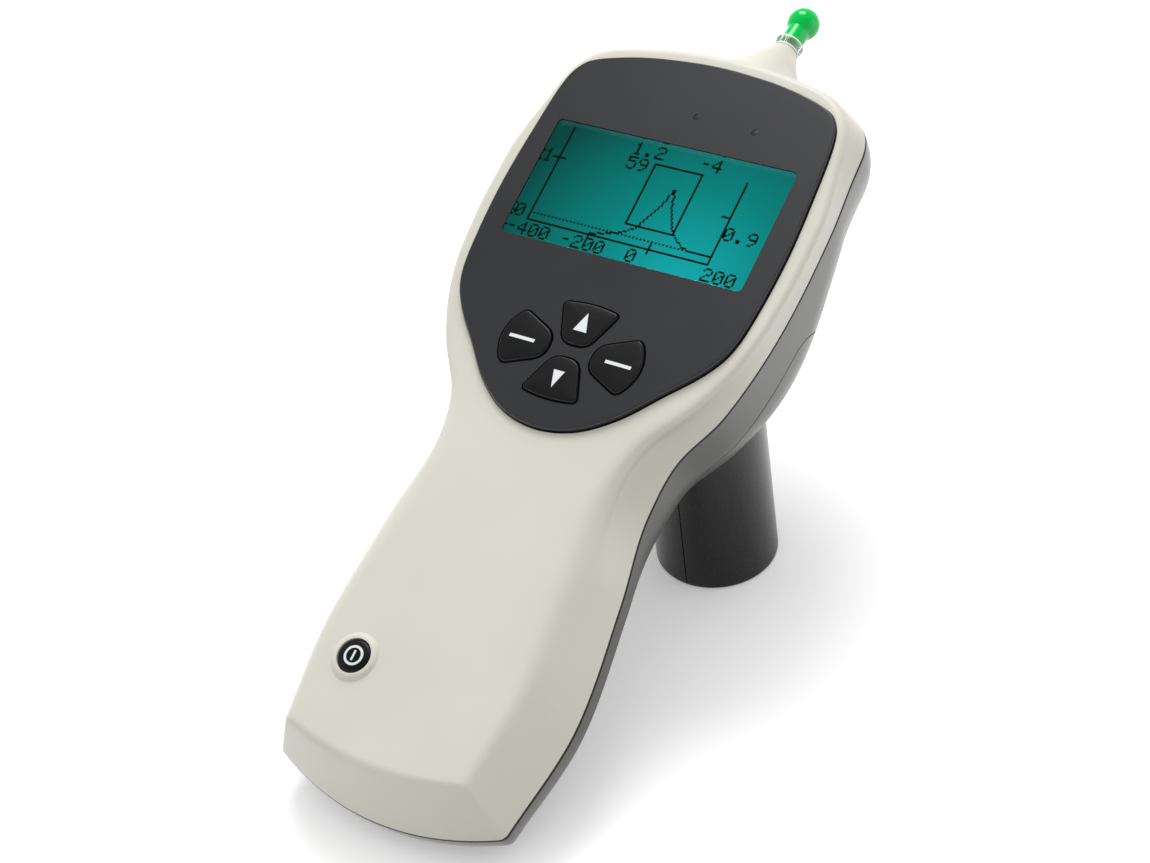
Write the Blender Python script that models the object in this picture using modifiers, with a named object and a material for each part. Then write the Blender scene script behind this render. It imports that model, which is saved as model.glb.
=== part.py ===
"""Hand-held screening tympanometer with a battery pod that doubles as its stand.

Sizes are in metres. The instrument is drawn in its own body frame: x to the right, y towards
the ear probe, z out of the face, with y = 0 at the middle of the key cluster and z = 0 on the
front panel. One empty tips that frame back, so that the pod and the tail stand on z = 0.
"""
import math

import bmesh
import bpy
from mathutils import Matrix, Vector

# Overall stance and shared clearances
TILT = math.radians(25.0)
WALL = 0.0024
GAP = 0.0003
OVERRUN = 0.004
MERGE = 0.00002
SMOOTH_ANGLE = math.radians(32.0)

# Keys
KEY_RISE = 0.0011
KEY_FLANGE = 0.0008
KEY_FLANGE_THICKNESS = 0.001
KEY_TRAVEL = 0.0008
KEY_EDGE = 0.0005
UP_KEY_INNER = (0.0033, 0.0017)
UP_KEY_OUTER = (0.0072, 0.0112)
UP_KEY_BOW = 0.0008
SIDE_KEY_INNER = (0.0029, 0.0056)
SIDE_KEY_OUTER = (0.0070, 0.0149)
SIDE_KEY_BOW = 0.0029
KEY_INNER_ROUND = 0.0026
KEY_OUTER_ROUND = 0.0013
KEY_REACH_UP = UP_KEY_OUTER[1] + UP_KEY_BOW
KEY_REACH_ASIDE = SIDE_KEY_OUTER[1] + SIDE_KEY_BOW
KEY_OPENING_MARGIN = 0.002
KEY_DOME_RADIUS = 0.0026

# Display and front panel: with the keys they set the size of the head
DISPLAY_HALF_WIDTH = 0.0312
DISPLAY_HEIGHT = 0.0314
DISPLAY_SIDE_MARGIN = 0.0061
DISPLAY_HEAD_MARGIN = 0.02205
DISPLAY_KEY_MARGIN = 0.01205
DISPLAY_LOW = KEY_REACH_UP + DISPLAY_KEY_MARGIN
DISPLAY_HIGH = DISPLAY_LOW + DISPLAY_HEIGHT
PANEL_KEY_MARGIN = 0.007
PANEL_HALF_WIDTH = DISPLAY_HALF_WIDTH + DISPLAY_SIDE_MARGIN
PANEL_TOP = DISPLAY_HIGH + DISPLAY_HEAD_MARGIN
PANEL_BOTTOM = -KEY_REACH_UP - PANEL_KEY_MARGIN
PANEL_THICKNESS = 0.002
PANEL_BEVEL = 0.0004
PANEL_OUTLINE_SHARES = (
    (0.0, 0.0), (0.250, 0.020), (0.470, 0.078), (0.660, 0.158), (0.845, 0.238), (0.945, 0.312),
    (0.985, 0.420), (1.0, 0.570), (0.980, 0.730), (0.948, 0.865), (0.890, 0.925), (0.780, 0.955),
    (0.520, 0.982), (0.260, 0.995), (0.0, 1.0))

# Housing, in plan: the parting line between the two shells
HEAD_SIDE_MARGIN = 0.0025
HEAD_END_MARGIN = 0.0042
HEAD_HALF_WIDTH = PANEL_HALF_WIDTH + HEAD_SIDE_MARGIN
HEAD_END = PANEL_TOP + HEAD_END_MARGIN
HEAD_CORNER_DROP = 0.0063
HEAD_CORNER_ROUND = 0.0084
TAIL_END = -0.1084
TAIL_CORNER_RISE = 0.0068
TAIL_CORNER_ROUND = 0.003
PARTING_FLANK_SHARES = (
    (0.738, 0.0), (0.848, 0.155), (0.782, 0.308), (0.707, 0.426), (0.732, 0.5), (0.872, 0.573),
    (0.974, 0.695), (1.0, 0.843), (0.984, 0.921), (0.979, 1.0))

# Housing, in plan: the ridge where the top face turns down into the flanks
RIDGE_TAIL_SETBACK = 0.0075
RIDGE_TAIL_END = TAIL_END + RIDGE_TAIL_SETBACK
RIDGE_TAIL_RISE = 0.0038
RIDGE_TAIL_ROUND = 0.0012
RIDGE_HEAD_SETBACK = 0.0004
RIDGE_FLANK_SHARES = (
    (0.585, 0.0), (0.638, 0.140), (0.605, 0.262), (0.581, 0.372), (0.655, 0.466), (0.851, 0.539),
    (0.970, 0.612), (1.034, 0.722), (1.038, 0.815), (0.957, 0.925), (0.877, 1.0))
SPINE_TAIL_SETBACK = 0.0176
SPINE_HEAD_SETBACK = 0.0277
SPINE_TAIL = RIDGE_TAIL_END + SPINE_TAIL_SETBACK
SPINE_HEAD = HEAD_END - SPINE_HEAD_SETBACK

# Housing, in height
PARTING_HEAD_Z = -0.0091
PARTING_TAIL_Z = -0.0168
TOP_Z = -0.0012
TOP_TAIL_FALL = 0.0002
CROWN_DROP = 0.0009
CROWN_POWER = 2.4
BELLY_Z = -0.0397
HANDLE_BELLY_Z = -0.0306
TAIL_BELLY_Z = -0.0272
BELLY_END = -0.016
HANDLE_BELLY_START = -0.047
RIDGE_FILLET = 0.0026
SHOULDER_FILLET = 0.0048
HEAD_CORNER = 0.0284
FLANK_CORNER = 0.0152
BELLY_CORNER = 0.0226
HANDLE_CORNER = 0.0157
TAIL_CORNER = 0.0086

# Parts of the display and lights
DISPLAY_CORNER = 0.0004
WINDOW_SINK = 0.0002
GLASS_MARGIN = 0.0016
GLASS_THICKNESS = 0.0018
DISPLAY_OPENING_MARGIN = 0.0022
LIGHT_OFFSETS = ((0.0016, 0.00805), (0.0169, 0.00735))
LIGHT_PLACES = [(x, DISPLAY_HIGH + rise) for x, rise in LIGHT_OFFSETS]
LIGHT_RADIUS = 0.0008

# Power key
POWER_RADIUS = 0.0041
POWER_SIDE_SHARE = 0.3543
POWER_TAIL_MARGIN = 0.021
POWER_X = -POWER_SIDE_SHARE * HEAD_HALF_WIDTH
POWER_Y = RIDGE_TAIL_END + POWER_TAIL_MARGIN
POWER_COLLAR_WIDTH = 0.0015
POWER_COLLAR_RADIUS = POWER_RADIUS + POWER_COLLAR_WIDTH
POWER_COLLAR_RISE = 0.0009
POWER_COLLAR_ROOT = 0.0018
POWER_FLANGE = 0.0008
POWER_SWITCH_SIZE = 0.006

# Circuit board
BOARD_Z = -0.009
BOARD_THICKNESS = 0.0016
BOARD_SIDE_MARGIN = 0.0128
BOARD_STEP_IN = 0.0085
BOARD_HEAD_MARGIN = 0.0147
BOARD_TAIL_MARGIN = 0.0146
BOARD_HEAD_HALF_WIDTH = HEAD_HALF_WIDTH - BOARD_SIDE_MARGIN
BOARD_HANDLE_HALF_WIDTH = BOARD_HEAD_HALF_WIDTH - BOARD_STEP_IN
BOARD_TOP = HEAD_END - BOARD_HEAD_MARGIN
BOARD_SHOULDER = -0.006
BOARD_BOTTOM = RIDGE_TAIL_END + BOARD_TAIL_MARGIN

# Fixing screws between the shells
HEAD_SCREW_MARGINS = (0.0083, 0.0192)
TAIL_SCREW_MARGINS = (0.0203, 0.0101)
SCREW_PLACES = (
    (HEAD_HALF_WIDTH - HEAD_SCREW_MARGINS[0], HEAD_END - HEAD_SCREW_MARGINS[1]),
    (HEAD_HALF_WIDTH - TAIL_SCREW_MARGINS[0], RIDGE_TAIL_END + TAIL_SCREW_MARGINS[1]))
BOSS_RADIUS = 0.0038
SCREW_RADIUS = 0.0012
SCREW_HEAD_RADIUS = 0.0024
SCREW_HEAD_HEIGHT = 0.0018
SCREW_REACH = 0.006
SCREW_LAND = 0.003

# Battery housing on the belly, and its pod
ARCH_TAIL_Y = -0.012
ARCH_SPINE_MARGIN = 0.0135
ARCH_HEAD_Y = SPINE_HEAD - ARCH_SPINE_MARGIN
ARCH_TAIL_Z = -0.0255
ARCH_HEAD_Z = -0.0215
ARCH_HEAD_SLANT = 0.0125
ARCH_HEAD_TOP_Y = ARCH_HEAD_Y - ARCH_HEAD_SLANT
ARCH_ROUND = 0.0055
POD_SIDE_MARGIN = 0.0208
POD_X = HEAD_HALF_WIDTH - POD_SIDE_MARGIN
POD_Y = 0.0045
POD_WALL = 0.0014
BUNDLE_CLEARANCE = 0.0002
CELL_RADIUS = 0.00525
CELL_SPREAD = CELL_RADIUS + GAP / 2
POD_RADIUS = CELL_SPREAD * math.sqrt(2) + CELL_RADIUS + BUNDLE_CLEARANCE + POD_WALL
POD_FLOOR = 0.0016
POD_CAP = 0.0014
POD_EDGE = 0.0007
COVER_REBATE = 0.0001
CELL_LENGTH = 0.0445
CELL_NUB_RADIUS = 0.0019
CELL_NUB_HEIGHT = 0.0008
CONTACT_THICKNESS = 0.0005
SPRING_HEIGHT = 0.0026
SPRING_RADIUS = 0.003

# Ear probe
NOSE_SETBACK = 0.0017
NOSE_DROP = 0.0124
NOSE_Y = HEAD_END - NOSE_SETBACK
NOSE_Z = PARTING_HEAD_Z - NOSE_DROP
NOSE_DIP = math.radians(12.0)
CONE_LENGTH = 0.0204
CONE_BASE_RADIUS = 0.0145
CONE_TIP_RADIUS = 0.0033
CONE_ROOT = 0.0145
CONE_CURVE_SHARES = (
    (0.0, 1.0), (0.10, 0.95), (0.22, 0.80), (0.35, 0.63), (0.56, 0.40), (0.72, 0.26), (0.86, 0.12), (1.0, 0.0))
NECK_RADIUS = 0.006
NECK_LENGTH = 0.006
BLOCK_RADIUS = 0.0072
BLOCK_BACK = 0.0155
BLOCK_FRONT = 0.007
PROBE_TUBE_RADIUS = 0.0013
PROBE_TUBE_STAND_OUT = 0.0058
PROBE_TUBE_END = CONE_LENGTH + PROBE_TUBE_STAND_OUT
PROBE_FLANGE_RADIUS = 0.0046
PROBE_FLANGE_THICKNESS = 0.001
RING_LENGTH = 0.0026
RING_LIP = 0.0003
RING_WALL = 0.0005
TIP_STEM_RADIUS = 0.0028
TIP_BORE = 0.0009
TIP_BULB_RADIUS = 0.004
TIP_BULB_STAND_OUT = 0.0104
TIP_BULB_CENTRE = CONE_LENGTH + TIP_BULB_STAND_OUT
TIP_MOUTH = 0.0016
TIP_SINK = 0.0014

# Air pump and sensors
MOTOR_RADIUS = 0.0068
MOTOR_LENGTH = 0.018
BRACKET_THICKNESS = 0.0013
BRACKET_WALL = 0.0014
BRACKET_MARGIN = 0.0012
BARREL_RADIUS = 0.0068
BARREL_BORE = 0.0052
PISTON_LENGTH = 0.007
PISTON_TRAVEL = 0.012
BARREL_SPARE = 0.010
BARREL_STAND_OFF = 0.006
PUMP_WALL_MARGIN = 0.0033
PUMP_NOSE_MARGIN = 0.030
PUMP_X = (POD_X - POD_RADIUS - HEAD_HALF_WIDTH + PUMP_WALL_MARGIN) / 2
PUMP_Z = -0.0197
BARREL_FRONT = NOSE_Y - PUMP_NOSE_MARGIN
BARREL_BACK = BARREL_FRONT - PISTON_LENGTH - PISTON_TRAVEL - BARREL_SPARE
MOTOR_FRONT = BARREL_BACK - PISTON_TRAVEL - BARREL_STAND_OFF
MOTOR_BACK = MOTOR_FRONT - MOTOR_LENGTH
NIPPLE_RADIUS = 0.0014
NIPPLE_LENGTH = 0.0035
PISTON_ROD_RADIUS = 0.0026
PUMP_SCREW_RADIUS = 0.0012
AIR_TUBE_RADIUS = 0.0013
SENSOR_SIZE = 0.007
SENSOR_HEIGHT = 0.0035
SENSOR_MARGINS = (0.006, 0.007)
SENSOR_PLACE = (SENSOR_MARGINS[0] - BOARD_HEAD_HALF_WIDTH, BOARD_TOP - SENSOR_MARGINS[1])
RECEIVER_RADIUS = 0.0028
RECEIVER_LENGTH = 0.005
MICROPHONE_RADIUS = 0.0019
MICROPHONE_LENGTH = 0.003

ROUND_STEPS = 32
SMALL_STEPS = 12


def clear_scene():
    """Remove whatever the file held and make the two collections."""
    for thing in list(bpy.data.objects):
        bpy.data.objects.remove(thing, do_unlink=True)
    for name in ("tympanometer", "cutters"):
        collection = bpy.data.collections.new(name)
        bpy.context.scene.collection.children.link(collection)


def material(name, colour, roughness, metallic=0.0, transmission=0.0):
    """Principled material with one colour."""
    made = bpy.data.materials.new(name)
    made.use_nodes = True
    shader = made.node_tree.nodes["Principled BSDF"]
    shader.inputs["Base Color"].default_value = (*colour, 1.0)
    shader.inputs["Roughness"].default_value = roughness
    shader.inputs["Metallic"].default_value = metallic
    shader.inputs["Transmission Weight"].default_value = transmission
    return made


def add_object(name, mesh, parent, look=None, location=(0, 0, 0), turn=(0, 0, 0)):
    """Put a mesh in the scene: a part when it has a look, and otherwise a cutter."""
    thing = bpy.data.objects.new(name, mesh)
    bpy.data.collections["tympanometer" if look else "cutters"].objects.link(thing)
    thing.parent = parent
    thing.location = location
    thing.rotation_euler = turn
    if look:
        mesh.materials.clear()
        mesh.materials.append(look)
        mesh.shade_smooth()
        mesh.set_sharp_from_angle(angle=SMOOTH_ANGLE)
    else:
        thing.hide_render = True
        thing.display_type = "WIRE"
    return thing


def add_empty(name, parent, location=(0, 0, 0), turn=(0, 0, 0)):
    """Empty that carries a group of pieces."""
    thing = bpy.data.objects.new(name, None)
    bpy.data.collections["tympanometer"].objects.link(thing)
    thing.parent = parent
    thing.location = location
    thing.rotation_euler = turn
    return thing


def boolean(target, tool, operation="DIFFERENCE"):
    """Cut, join or trim one solid with another."""
    step = target.modifiers.new(operation.lower(), "BOOLEAN")
    step.operation = operation
    step.object = tool
    step.solver = "EXACT"
    return target


def mesh_from(bm, name):
    """Turn an edited bmesh into a mesh."""
    mesh = bpy.data.meshes.new(name)
    bm.to_mesh(mesh)
    bm.free()
    return mesh


def box(name, low, high, parent, look=None, edge=0.0):
    """Box between two corners, with its origin at its centre and an optional edge radius."""
    low = Vector(low)
    high = Vector(high)
    bm = bmesh.new()
    bmesh.ops.create_cube(bm, size=1.0)
    bmesh.ops.scale(bm, vec=high - low, verts=bm.verts)
    thing = add_object(name, mesh_from(bm, name), parent, look, (low + high) / 2)
    if edge:
        soften(thing, edge)
    return thing


def soften(thing, width, segments=2):
    """Rounded edges on every sharp edge of a piece."""
    step = thing.modifiers.new("edges", "BEVEL")
    step.width = width
    step.segments = segments
    step.limit_method = "ANGLE"
    step.angle_limit = math.radians(50.0)
    return thing


def prism(name, outlines, low, high, parent, look=None, location=(0, 0, 0), turn=(0, 0, 0)):
    """Flat outline, with any holes inside it, given a thickness from low to high."""
    curve = bpy.data.curves.new(name + "_outline", "CURVE")
    curve.dimensions = "2D"
    curve.fill_mode = "BOTH"
    curve.extrude = (high - low) / 2
    for outline in outlines:
        spline = curve.splines.new("POLY")
        spline.points.add(len(outline) - 1)
        for point, (x, y) in zip(spline.points, outline):
            point.co = (x, y, 0, 1)
        spline.use_cyclic_u = True
    drawn = bpy.data.objects.new(name + "_outline", curve)
    bpy.data.collections["cutters"].objects.link(drawn)
    bpy.context.view_layer.update()
    mesh = bpy.data.meshes.new_from_object(drawn.evaluated_get(bpy.context.evaluated_depsgraph_get()))
    bpy.data.objects.remove(drawn)
    bm = bmesh.new()
    bm.from_mesh(mesh)
    bmesh.ops.remove_doubles(bm, verts=bm.verts, dist=MERGE)
    bmesh.ops.translate(bm, vec=(0, 0, (low + high) / 2), verts=bm.verts)
    bmesh.ops.recalc_face_normals(bm, faces=bm.faces)
    bpy.data.meshes.remove(mesh)
    return add_object(name, mesh_from(bm, name), parent, look, location, turn)


def turned(name, profile, parent, look=None, location=(0, 0, 0), turn=(0, 0, 0), steps=ROUND_STEPS, loop=False):
    """Turned piece: a profile of (radius, height) points from the top down, spun about z."""
    mesh = bpy.data.meshes.new(name)
    points = [(radius, 0, height) for radius, height in profile]
    edges = [(i, i + 1) for i in range(len(points) - 1)]
    if loop:
        edges.append((len(points) - 1, 0))
    mesh.from_pydata(points, edges, [])
    thing = add_object(name, mesh, parent, look, location, turn)
    spin = thing.modifiers.new("spin", "SCREW")
    spin.steps = steps
    spin.render_steps = steps
    spin.use_merge_vertices = True
    spin.merge_threshold = MERGE
    spin.use_smooth_shade = True
    return thing


def rod(name, radius, low, high, parent, look=None, location=(0, 0, 0), turn=(0, 0, 0), steps=SMALL_STEPS):
    """Plain round rod along z."""
    profile = ((0, high), (radius, high), (radius, low), (0, low))
    return turned(name, profile, parent, look, location, turn, steps)


def smooth_value(points, place):
    """Value at a place on a smooth curve through (value, place) points, held beyond its ends.

    The curve is level where it turns back, so that it never swings past a point.
    """
    places = [point[1] for point in points]
    if place <= places[0]:
        return points[0][0]
    if place >= places[-1]:
        return points[-1][0]
    slopes = []
    for i in range(len(points)):
        before = points[max(i - 1, 0)]
        after = points[min(i + 1, len(points) - 1)]
        turns_back = 0 < i < len(points) - 1 and (points[i][0] - before[0]) * (after[0] - points[i][0]) <= 0
        slopes.append(0 if turns_back else (after[0] - before[0]) / (after[1] - before[1]))
    i = max(k for k in range(len(points) - 1) if places[k] <= place)
    span = places[i + 1] - places[i]
    t = (place - places[i]) / span
    start = (2 * t ** 3 - 3 * t ** 2 + 1) * points[i][0] + (t ** 3 - 2 * t ** 2 + t) * span * slopes[i]
    end = (3 * t ** 2 - 2 * t ** 3) * points[i + 1][0] + (t ** 3 - t ** 2) * span * slopes[i + 1]
    return start + end


def rounded(before, corner, after, steps):
    """Points that round off a corner, from one side of it to the other."""
    before = Vector(before)
    corner = Vector(corner)
    after = Vector(after)
    points = []
    for i in range(steps + 1):
        t = i / steps
        points.append(before * (1 - t) ** 2 + corner * 2 * t * (1 - t) + after * t ** 2)
    return points


def grown(points, distance):
    """Closed outline moved out by a distance."""
    moved = []
    count = len(points)
    for i, point in enumerate(points):
        along = (Vector(points[(i + 1) % count]) - Vector(points[i - 1])).normalized()
        moved.append(Vector(point) + Vector((along.y, -along.x)) * distance)
    return moved


def mirrored(half):
    """Whole outline from a right half that runs from its bottom to its top."""
    return [Vector(p) for p in half] + [Vector((-p[0], p[1])) for p in reversed(half) if p[0] > MERGE]


def through(points, steps):
    """Smooth open curve through the points, with steps spans between each two."""
    made = []
    for i in range(len(points) - 1):
        here = Vector(points[i])
        there = Vector(points[i + 1])
        before = Vector(points[i - 1]) if i else Vector((-there.x, there.y))
        last = i + 2 == len(points)
        beyond = Vector((-here.x, here.y)) if last else Vector(points[i + 2])
        for k in range(steps):
            t = k / steps
            pull = (here * 2 + (there - before) * t + (before * 2 - here * 5 + there * 4 - beyond) * t ** 2
                    + (here * 3 - before - there * 3 + beyond) * t ** 3)
            made.append(pull / 2)
    made.append(Vector(points[-1]))
    return made


def flank_points(shares, low, high):
    """Half widths down one side, from shares of the head's half width and of the length."""
    return [(x * HEAD_HALF_WIDTH, low + y * (high - low)) for x, y in shares]


def half_outline(flank, tail_end, tail_round, head_end, head_round):
    """Right half of a housing outline: bowed tail, rounded corner, flank, corner, bowed head."""
    tail_corner = Vector(flank[0])
    head_corner = Vector(flank[-1])

    def tail(share):
        return Vector((tail_corner.x * share, tail_end + (tail_corner.y - tail_end) * share ** 2))

    def head(share):
        return Vector((head_corner.x * share, head_end + (head_corner.y - head_end) * share ** 2))

    def side(y):
        return Vector((smooth_value(flank, y), y))

    tail_turn = 1 - tail_round / tail_corner.x
    head_turn = 1 - head_round / head_corner.x
    low = tail_corner.y + tail_round
    high = head_corner.y - head_round
    points = [tail(tail_turn * i / 5) for i in range(5)]
    points += rounded(tail(tail_turn), tail_corner, side(low), 3)
    points += [side(low + (high - low) * i / 20) for i in range(1, 20)]
    points += rounded(side(high), head_corner, head(head_turn), 5)
    points += [head(head_turn * i / 5) for i in range(4, -1, -1)]
    return points


def parting_flank():
    return flank_points(PARTING_FLANK_SHARES, TAIL_END + TAIL_CORNER_RISE, HEAD_END - HEAD_CORNER_DROP)


def ridge_flank():
    return flank_points(RIDGE_FLANK_SHARES, RIDGE_TAIL_END + RIDGE_TAIL_RISE, HEAD_END - HEAD_CORNER_DROP)


def parting_height(y):
    """Height of the straight parting line at y."""
    share = (y - TAIL_END) / (HEAD_END - TAIL_END)
    return PARTING_TAIL_Z + (PARTING_HEAD_Z - PARTING_TAIL_Z) * share


def top_height(x, y):
    """Height of the top face: level on the head, crowned on the handle, falling to the tail."""
    fall = smooth_value(((TOP_TAIL_FALL, RIDGE_TAIL_END), (0, HANDLE_BELLY_START)), y)
    drop = smooth_value(((CROWN_DROP, BELLY_END), (0, -BELLY_END)), y)
    half = smooth_value(ridge_flank(), y)
    return TOP_Z - fall - drop * min(abs(x) / half, 1) ** CROWN_POWER


def belly_height(y):
    """Height of the underside along the middle: deep under the head, shallow under the handle."""
    handle_middle = (HANDLE_BELLY_START + SPINE_TAIL) / 2
    line = ((TAIL_BELLY_Z, RIDGE_TAIL_END), (HANDLE_BELLY_Z, handle_middle),
            (HANDLE_BELLY_Z, HANDLE_BELLY_START), (BELLY_Z, BELLY_END), (BELLY_Z, SPINE_HEAD))
    return smooth_value(line, y)


def spine_point(y):
    """Nearest point of the straight middle line that the end stations draw in to."""
    return Vector((0, min(max(y, SPINE_TAIL), SPINE_HEAD)))


def from_spine(point, distance):
    """Point moved straight away from the spine by a distance."""
    return point + (point - spine_point(point.y)).normalized() * distance


def fillet_size(y):
    line = ((RIDGE_FILLET, SPINE_TAIL), (SHOULDER_FILLET, BELLY_END), (RIDGE_FILLET, -BELLY_END))
    return smooth_value(line, y)


def belly_corner(y):
    line = ((TAIL_CORNER, TAIL_END), (HANDLE_CORNER, SPINE_TAIL), (HANDLE_CORNER, HANDLE_BELLY_START),
            (BELLY_CORNER, BELLY_END), (FLANK_CORNER, -BELLY_END), (HEAD_CORNER, SPINE_HEAD))
    return smooth_value(line, y)


def housing_station(ridge, foot, grow):
    """One section of the housing's right half, from its top middle round to its belly middle."""
    top_grow = Vector((0, 0, grow))
    size = fillet_size(ridge.y)
    corner = Vector((*ridge, top_height(*ridge))) + top_grow
    base = Vector((*foot, parting_height(foot.y)))
    spine = spine_point(ridge.y)
    inward = (spine - ridge).normalized()
    shelf = ridge + inward * size
    on_top = Vector((*shelf, top_height(*shelf))) + top_grow
    on_side = corner + (base - corner).normalized() * size
    section = []
    for share in (0, 0.35, 0.65, 0.87):
        flat = spine.lerp(shelf, share)
        section.append(Vector((*flat, top_height(*flat))) + top_grow)
    section += rounded(on_top, corner, on_side, 4)
    section.append(base)
    low_spine = spine_point(foot.y)
    to_spine = (low_spine - foot).normalized()
    radius = belly_corner(foot.y)
    inner = foot + to_spine * radius
    floor = belly_height(inner.y) - grow
    radius = min(radius, base.z - floor)
    for step in range(5):
        angle = math.radians(90.0) * step / 4
        flat = foot + to_spine * radius * (1 - math.cos(angle))
        section.append(Vector((*flat, floor + radius * (1 - math.sin(angle)))))
    inner = foot + to_spine * radius
    for share in (0.5, 0):
        flat = low_spine.lerp(inner, share)
        section.append(Vector((*flat, belly_height(flat.y) - grow)))
    return section


def housing_stations(grow):
    """Sections of the whole housing from the tail to the head, moved out by grow."""
    head_end = HEAD_END - RIDGE_HEAD_SETBACK
    ridge = half_outline(ridge_flank(), RIDGE_TAIL_END, RIDGE_TAIL_ROUND, head_end, HEAD_CORNER_ROUND)
    foot = half_outline(parting_flank(), TAIL_END, TAIL_CORNER_ROUND, HEAD_END, HEAD_CORNER_ROUND)
    return [housing_station(from_spine(r, grow), from_spine(f, grow), grow) for r, f in zip(ridge, foot)]


def housing_loft(name, grow, parent, look=None):
    """Closed housing body: a loft of the right half, with its left half by Mirror."""
    bm = bmesh.new()
    grid = [[bm.verts.new(point) for point in section] for section in housing_stations(grow)]
    for tailward, headward in zip(grid, grid[1:]):
        for i in range(len(tailward) - 1):
            bm.faces.new((tailward[i], tailward[i + 1], headward[i + 1], headward[i]))
    bmesh.ops.remove_doubles(bm, verts=bm.verts, dist=MERGE)
    thing = add_object(name, mesh_from(bm, name), parent, look)
    flip = thing.modifiers.new("left_half", "MIRROR")
    flip.use_clip = True
    flip.merge_threshold = MERGE
    return thing


def reach(point):
    """How far down a point lies once the body frame is tipped back."""
    return -point[1] * math.sin(TILT) - point[2] * math.cos(TILT)


def pod_base():
    """Middle of the pod's foot, level with the lowest edge of the tail."""
    start = Vector((POD_X, POD_Y, BELLY_Z))
    lowest = max(reach(point) for section in housing_stations(0) for point in section)
    down = Vector((0, -math.sin(TILT), -math.cos(TILT)))
    return start + down * (lowest - reach(start))


def parting_box(name, side, parent):
    """Large box above (side 1) or below (side -1) the parting line, half a gap clear of it."""
    length = (HEAD_END - TAIL_END) * 2
    slope = math.atan2(PARTING_HEAD_Z - PARTING_TAIL_Z, HEAD_END - TAIL_END)
    middle = (HEAD_END + TAIL_END) / 2
    thing = box(name, (-length / 2, -length / 2, GAP / 2), (length / 2, length / 2, length / 2), parent)
    centre = Vector((0, middle, parting_height(middle)))
    turn = Matrix.Rotation(slope, 4, "X")
    if side < 0:
        turn = turn @ Matrix.Rotation(math.pi, 4, "Y")
    thing.matrix_basis = Matrix.Translation(centre) @ turn @ Matrix.Translation(thing.location)
    return thing


def arch_outline(margin):
    """Side view of the belly opening, as (y, z), moved out by a margin."""
    low = BELLY_Z - BELLY_CORNER
    corners = [Vector(p) for p in (
        (ARCH_HEAD_Y, low), (ARCH_HEAD_Y, BELLY_Z), (ARCH_HEAD_TOP_Y, ARCH_HEAD_Z),
        (ARCH_TAIL_Y, ARCH_TAIL_Z), (ARCH_TAIL_Y, low))]
    points = [corners[0]]
    for before, corner, after in zip(corners, corners[1:], corners[2:]):
        start = corner + (before - corner).normalized() * ARCH_ROUND
        end = corner + (after - corner).normalized() * ARCH_ROUND
        points += rounded(start, corner, end, 4)
    points.append(corners[-1])
    return grown(points, margin)


def arch_cutter(name, margin, parent):
    """Belly opening, right through the housing from side to side."""
    reach_out = HEAD_HALF_WIDTH + OVERRUN
    turn = (math.radians(90.0), 0, math.radians(90.0))
    return prism(name, [arch_outline(margin)], -reach_out, reach_out, parent, turn=turn)


def screw_places():
    return [(side * x, y) for x, y in SCREW_PLACES for side in (-1, 1)]


def post_group(name, radius, low, high, parent, look=None):
    """A round post at each screw, from low(y) to high(x, y)."""
    bm = bmesh.new()
    for x, y in screw_places():
        bottom = low(y)
        top = high(x, y)
        place = Matrix.Translation((x, y, (bottom + top) / 2))
        bmesh.ops.create_cone(bm, cap_ends=True, segments=SMALL_STEPS, radius1=radius, radius2=radius,
                              depth=top - bottom, matrix=place)
    return add_object(name, mesh_from(bm, name), parent, look)


def key_outline(inner, outer, bow):
    """Fan-shaped key that points at the middle of the cluster, drawn for the upper key."""
    inner_half, inner_at = inner
    outer_half, outer_at = outer
    inner_corner = Vector((inner_half, inner_at))
    outer_corner = Vector((outer_half, outer_at))
    side = (outer_corner - inner_corner).normalized()

    def arc(share):
        return Vector((outer_half * share, outer_at + bow * (1 - share ** 2)))

    edge_share = 1 - KEY_OUTER_ROUND / outer_half
    inner_start = Vector((inner_half - KEY_INNER_ROUND, inner_at))
    half = rounded(inner_start, inner_corner, inner_corner + side * KEY_INNER_ROUND, 4)
    half += rounded(outer_corner - side * KEY_OUTER_ROUND, outer_corner, arc(edge_share), 2)
    half += [arc(edge_share * i / 3) for i in (2, 1, 0)]
    return mirrored(half)


def turned_outline(points, quarter_turns):
    """Outline turned about the cluster's middle by quarter turns."""
    turn = Matrix.Rotation(math.radians(90.0) * quarter_turns, 2)
    return [turn @ Vector(point) for point in points]


def key_outlines():
    """Outline of each key by name."""
    upright = key_outline(UP_KEY_INNER, UP_KEY_OUTER, UP_KEY_BOW)
    sideways = key_outline(SIDE_KEY_INNER, SIDE_KEY_OUTER, SIDE_KEY_BOW)
    return {
        "key_up": turned_outline(upright, 0), "key_left": turned_outline(sideways, 1),
        "key_down": turned_outline(upright, 2), "key_right": turned_outline(sideways, 3)}


def panel_outline():
    length = PANEL_TOP - PANEL_BOTTOM
    half = [(x * PANEL_HALF_WIDTH, PANEL_BOTTOM + y * length) for x, y in PANEL_OUTLINE_SHARES]
    return mirrored(through(half, 2))


def rectangle(half_width, low, high, corner):
    """Upright rectangle with rounded corners."""
    corners = [Vector(p) for p in ((-half_width, low), (half_width, low), (half_width, high), (-half_width, high))]
    points = []
    for i, here in enumerate(corners):
        before = (corners[i - 1] - here).normalized() * corner
        after = (corners[(i + 1) % 4] - here).normalized() * corner
        points += rounded(here + before, here, here + after, 2)
    return points


def circle(centre, radius, steps=SMALL_STEPS):
    angles = [math.tau * i / steps for i in range(steps)]
    return [Vector((centre[0] + radius * math.cos(a), centre[1] + radius * math.sin(a))) for a in angles]


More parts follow.
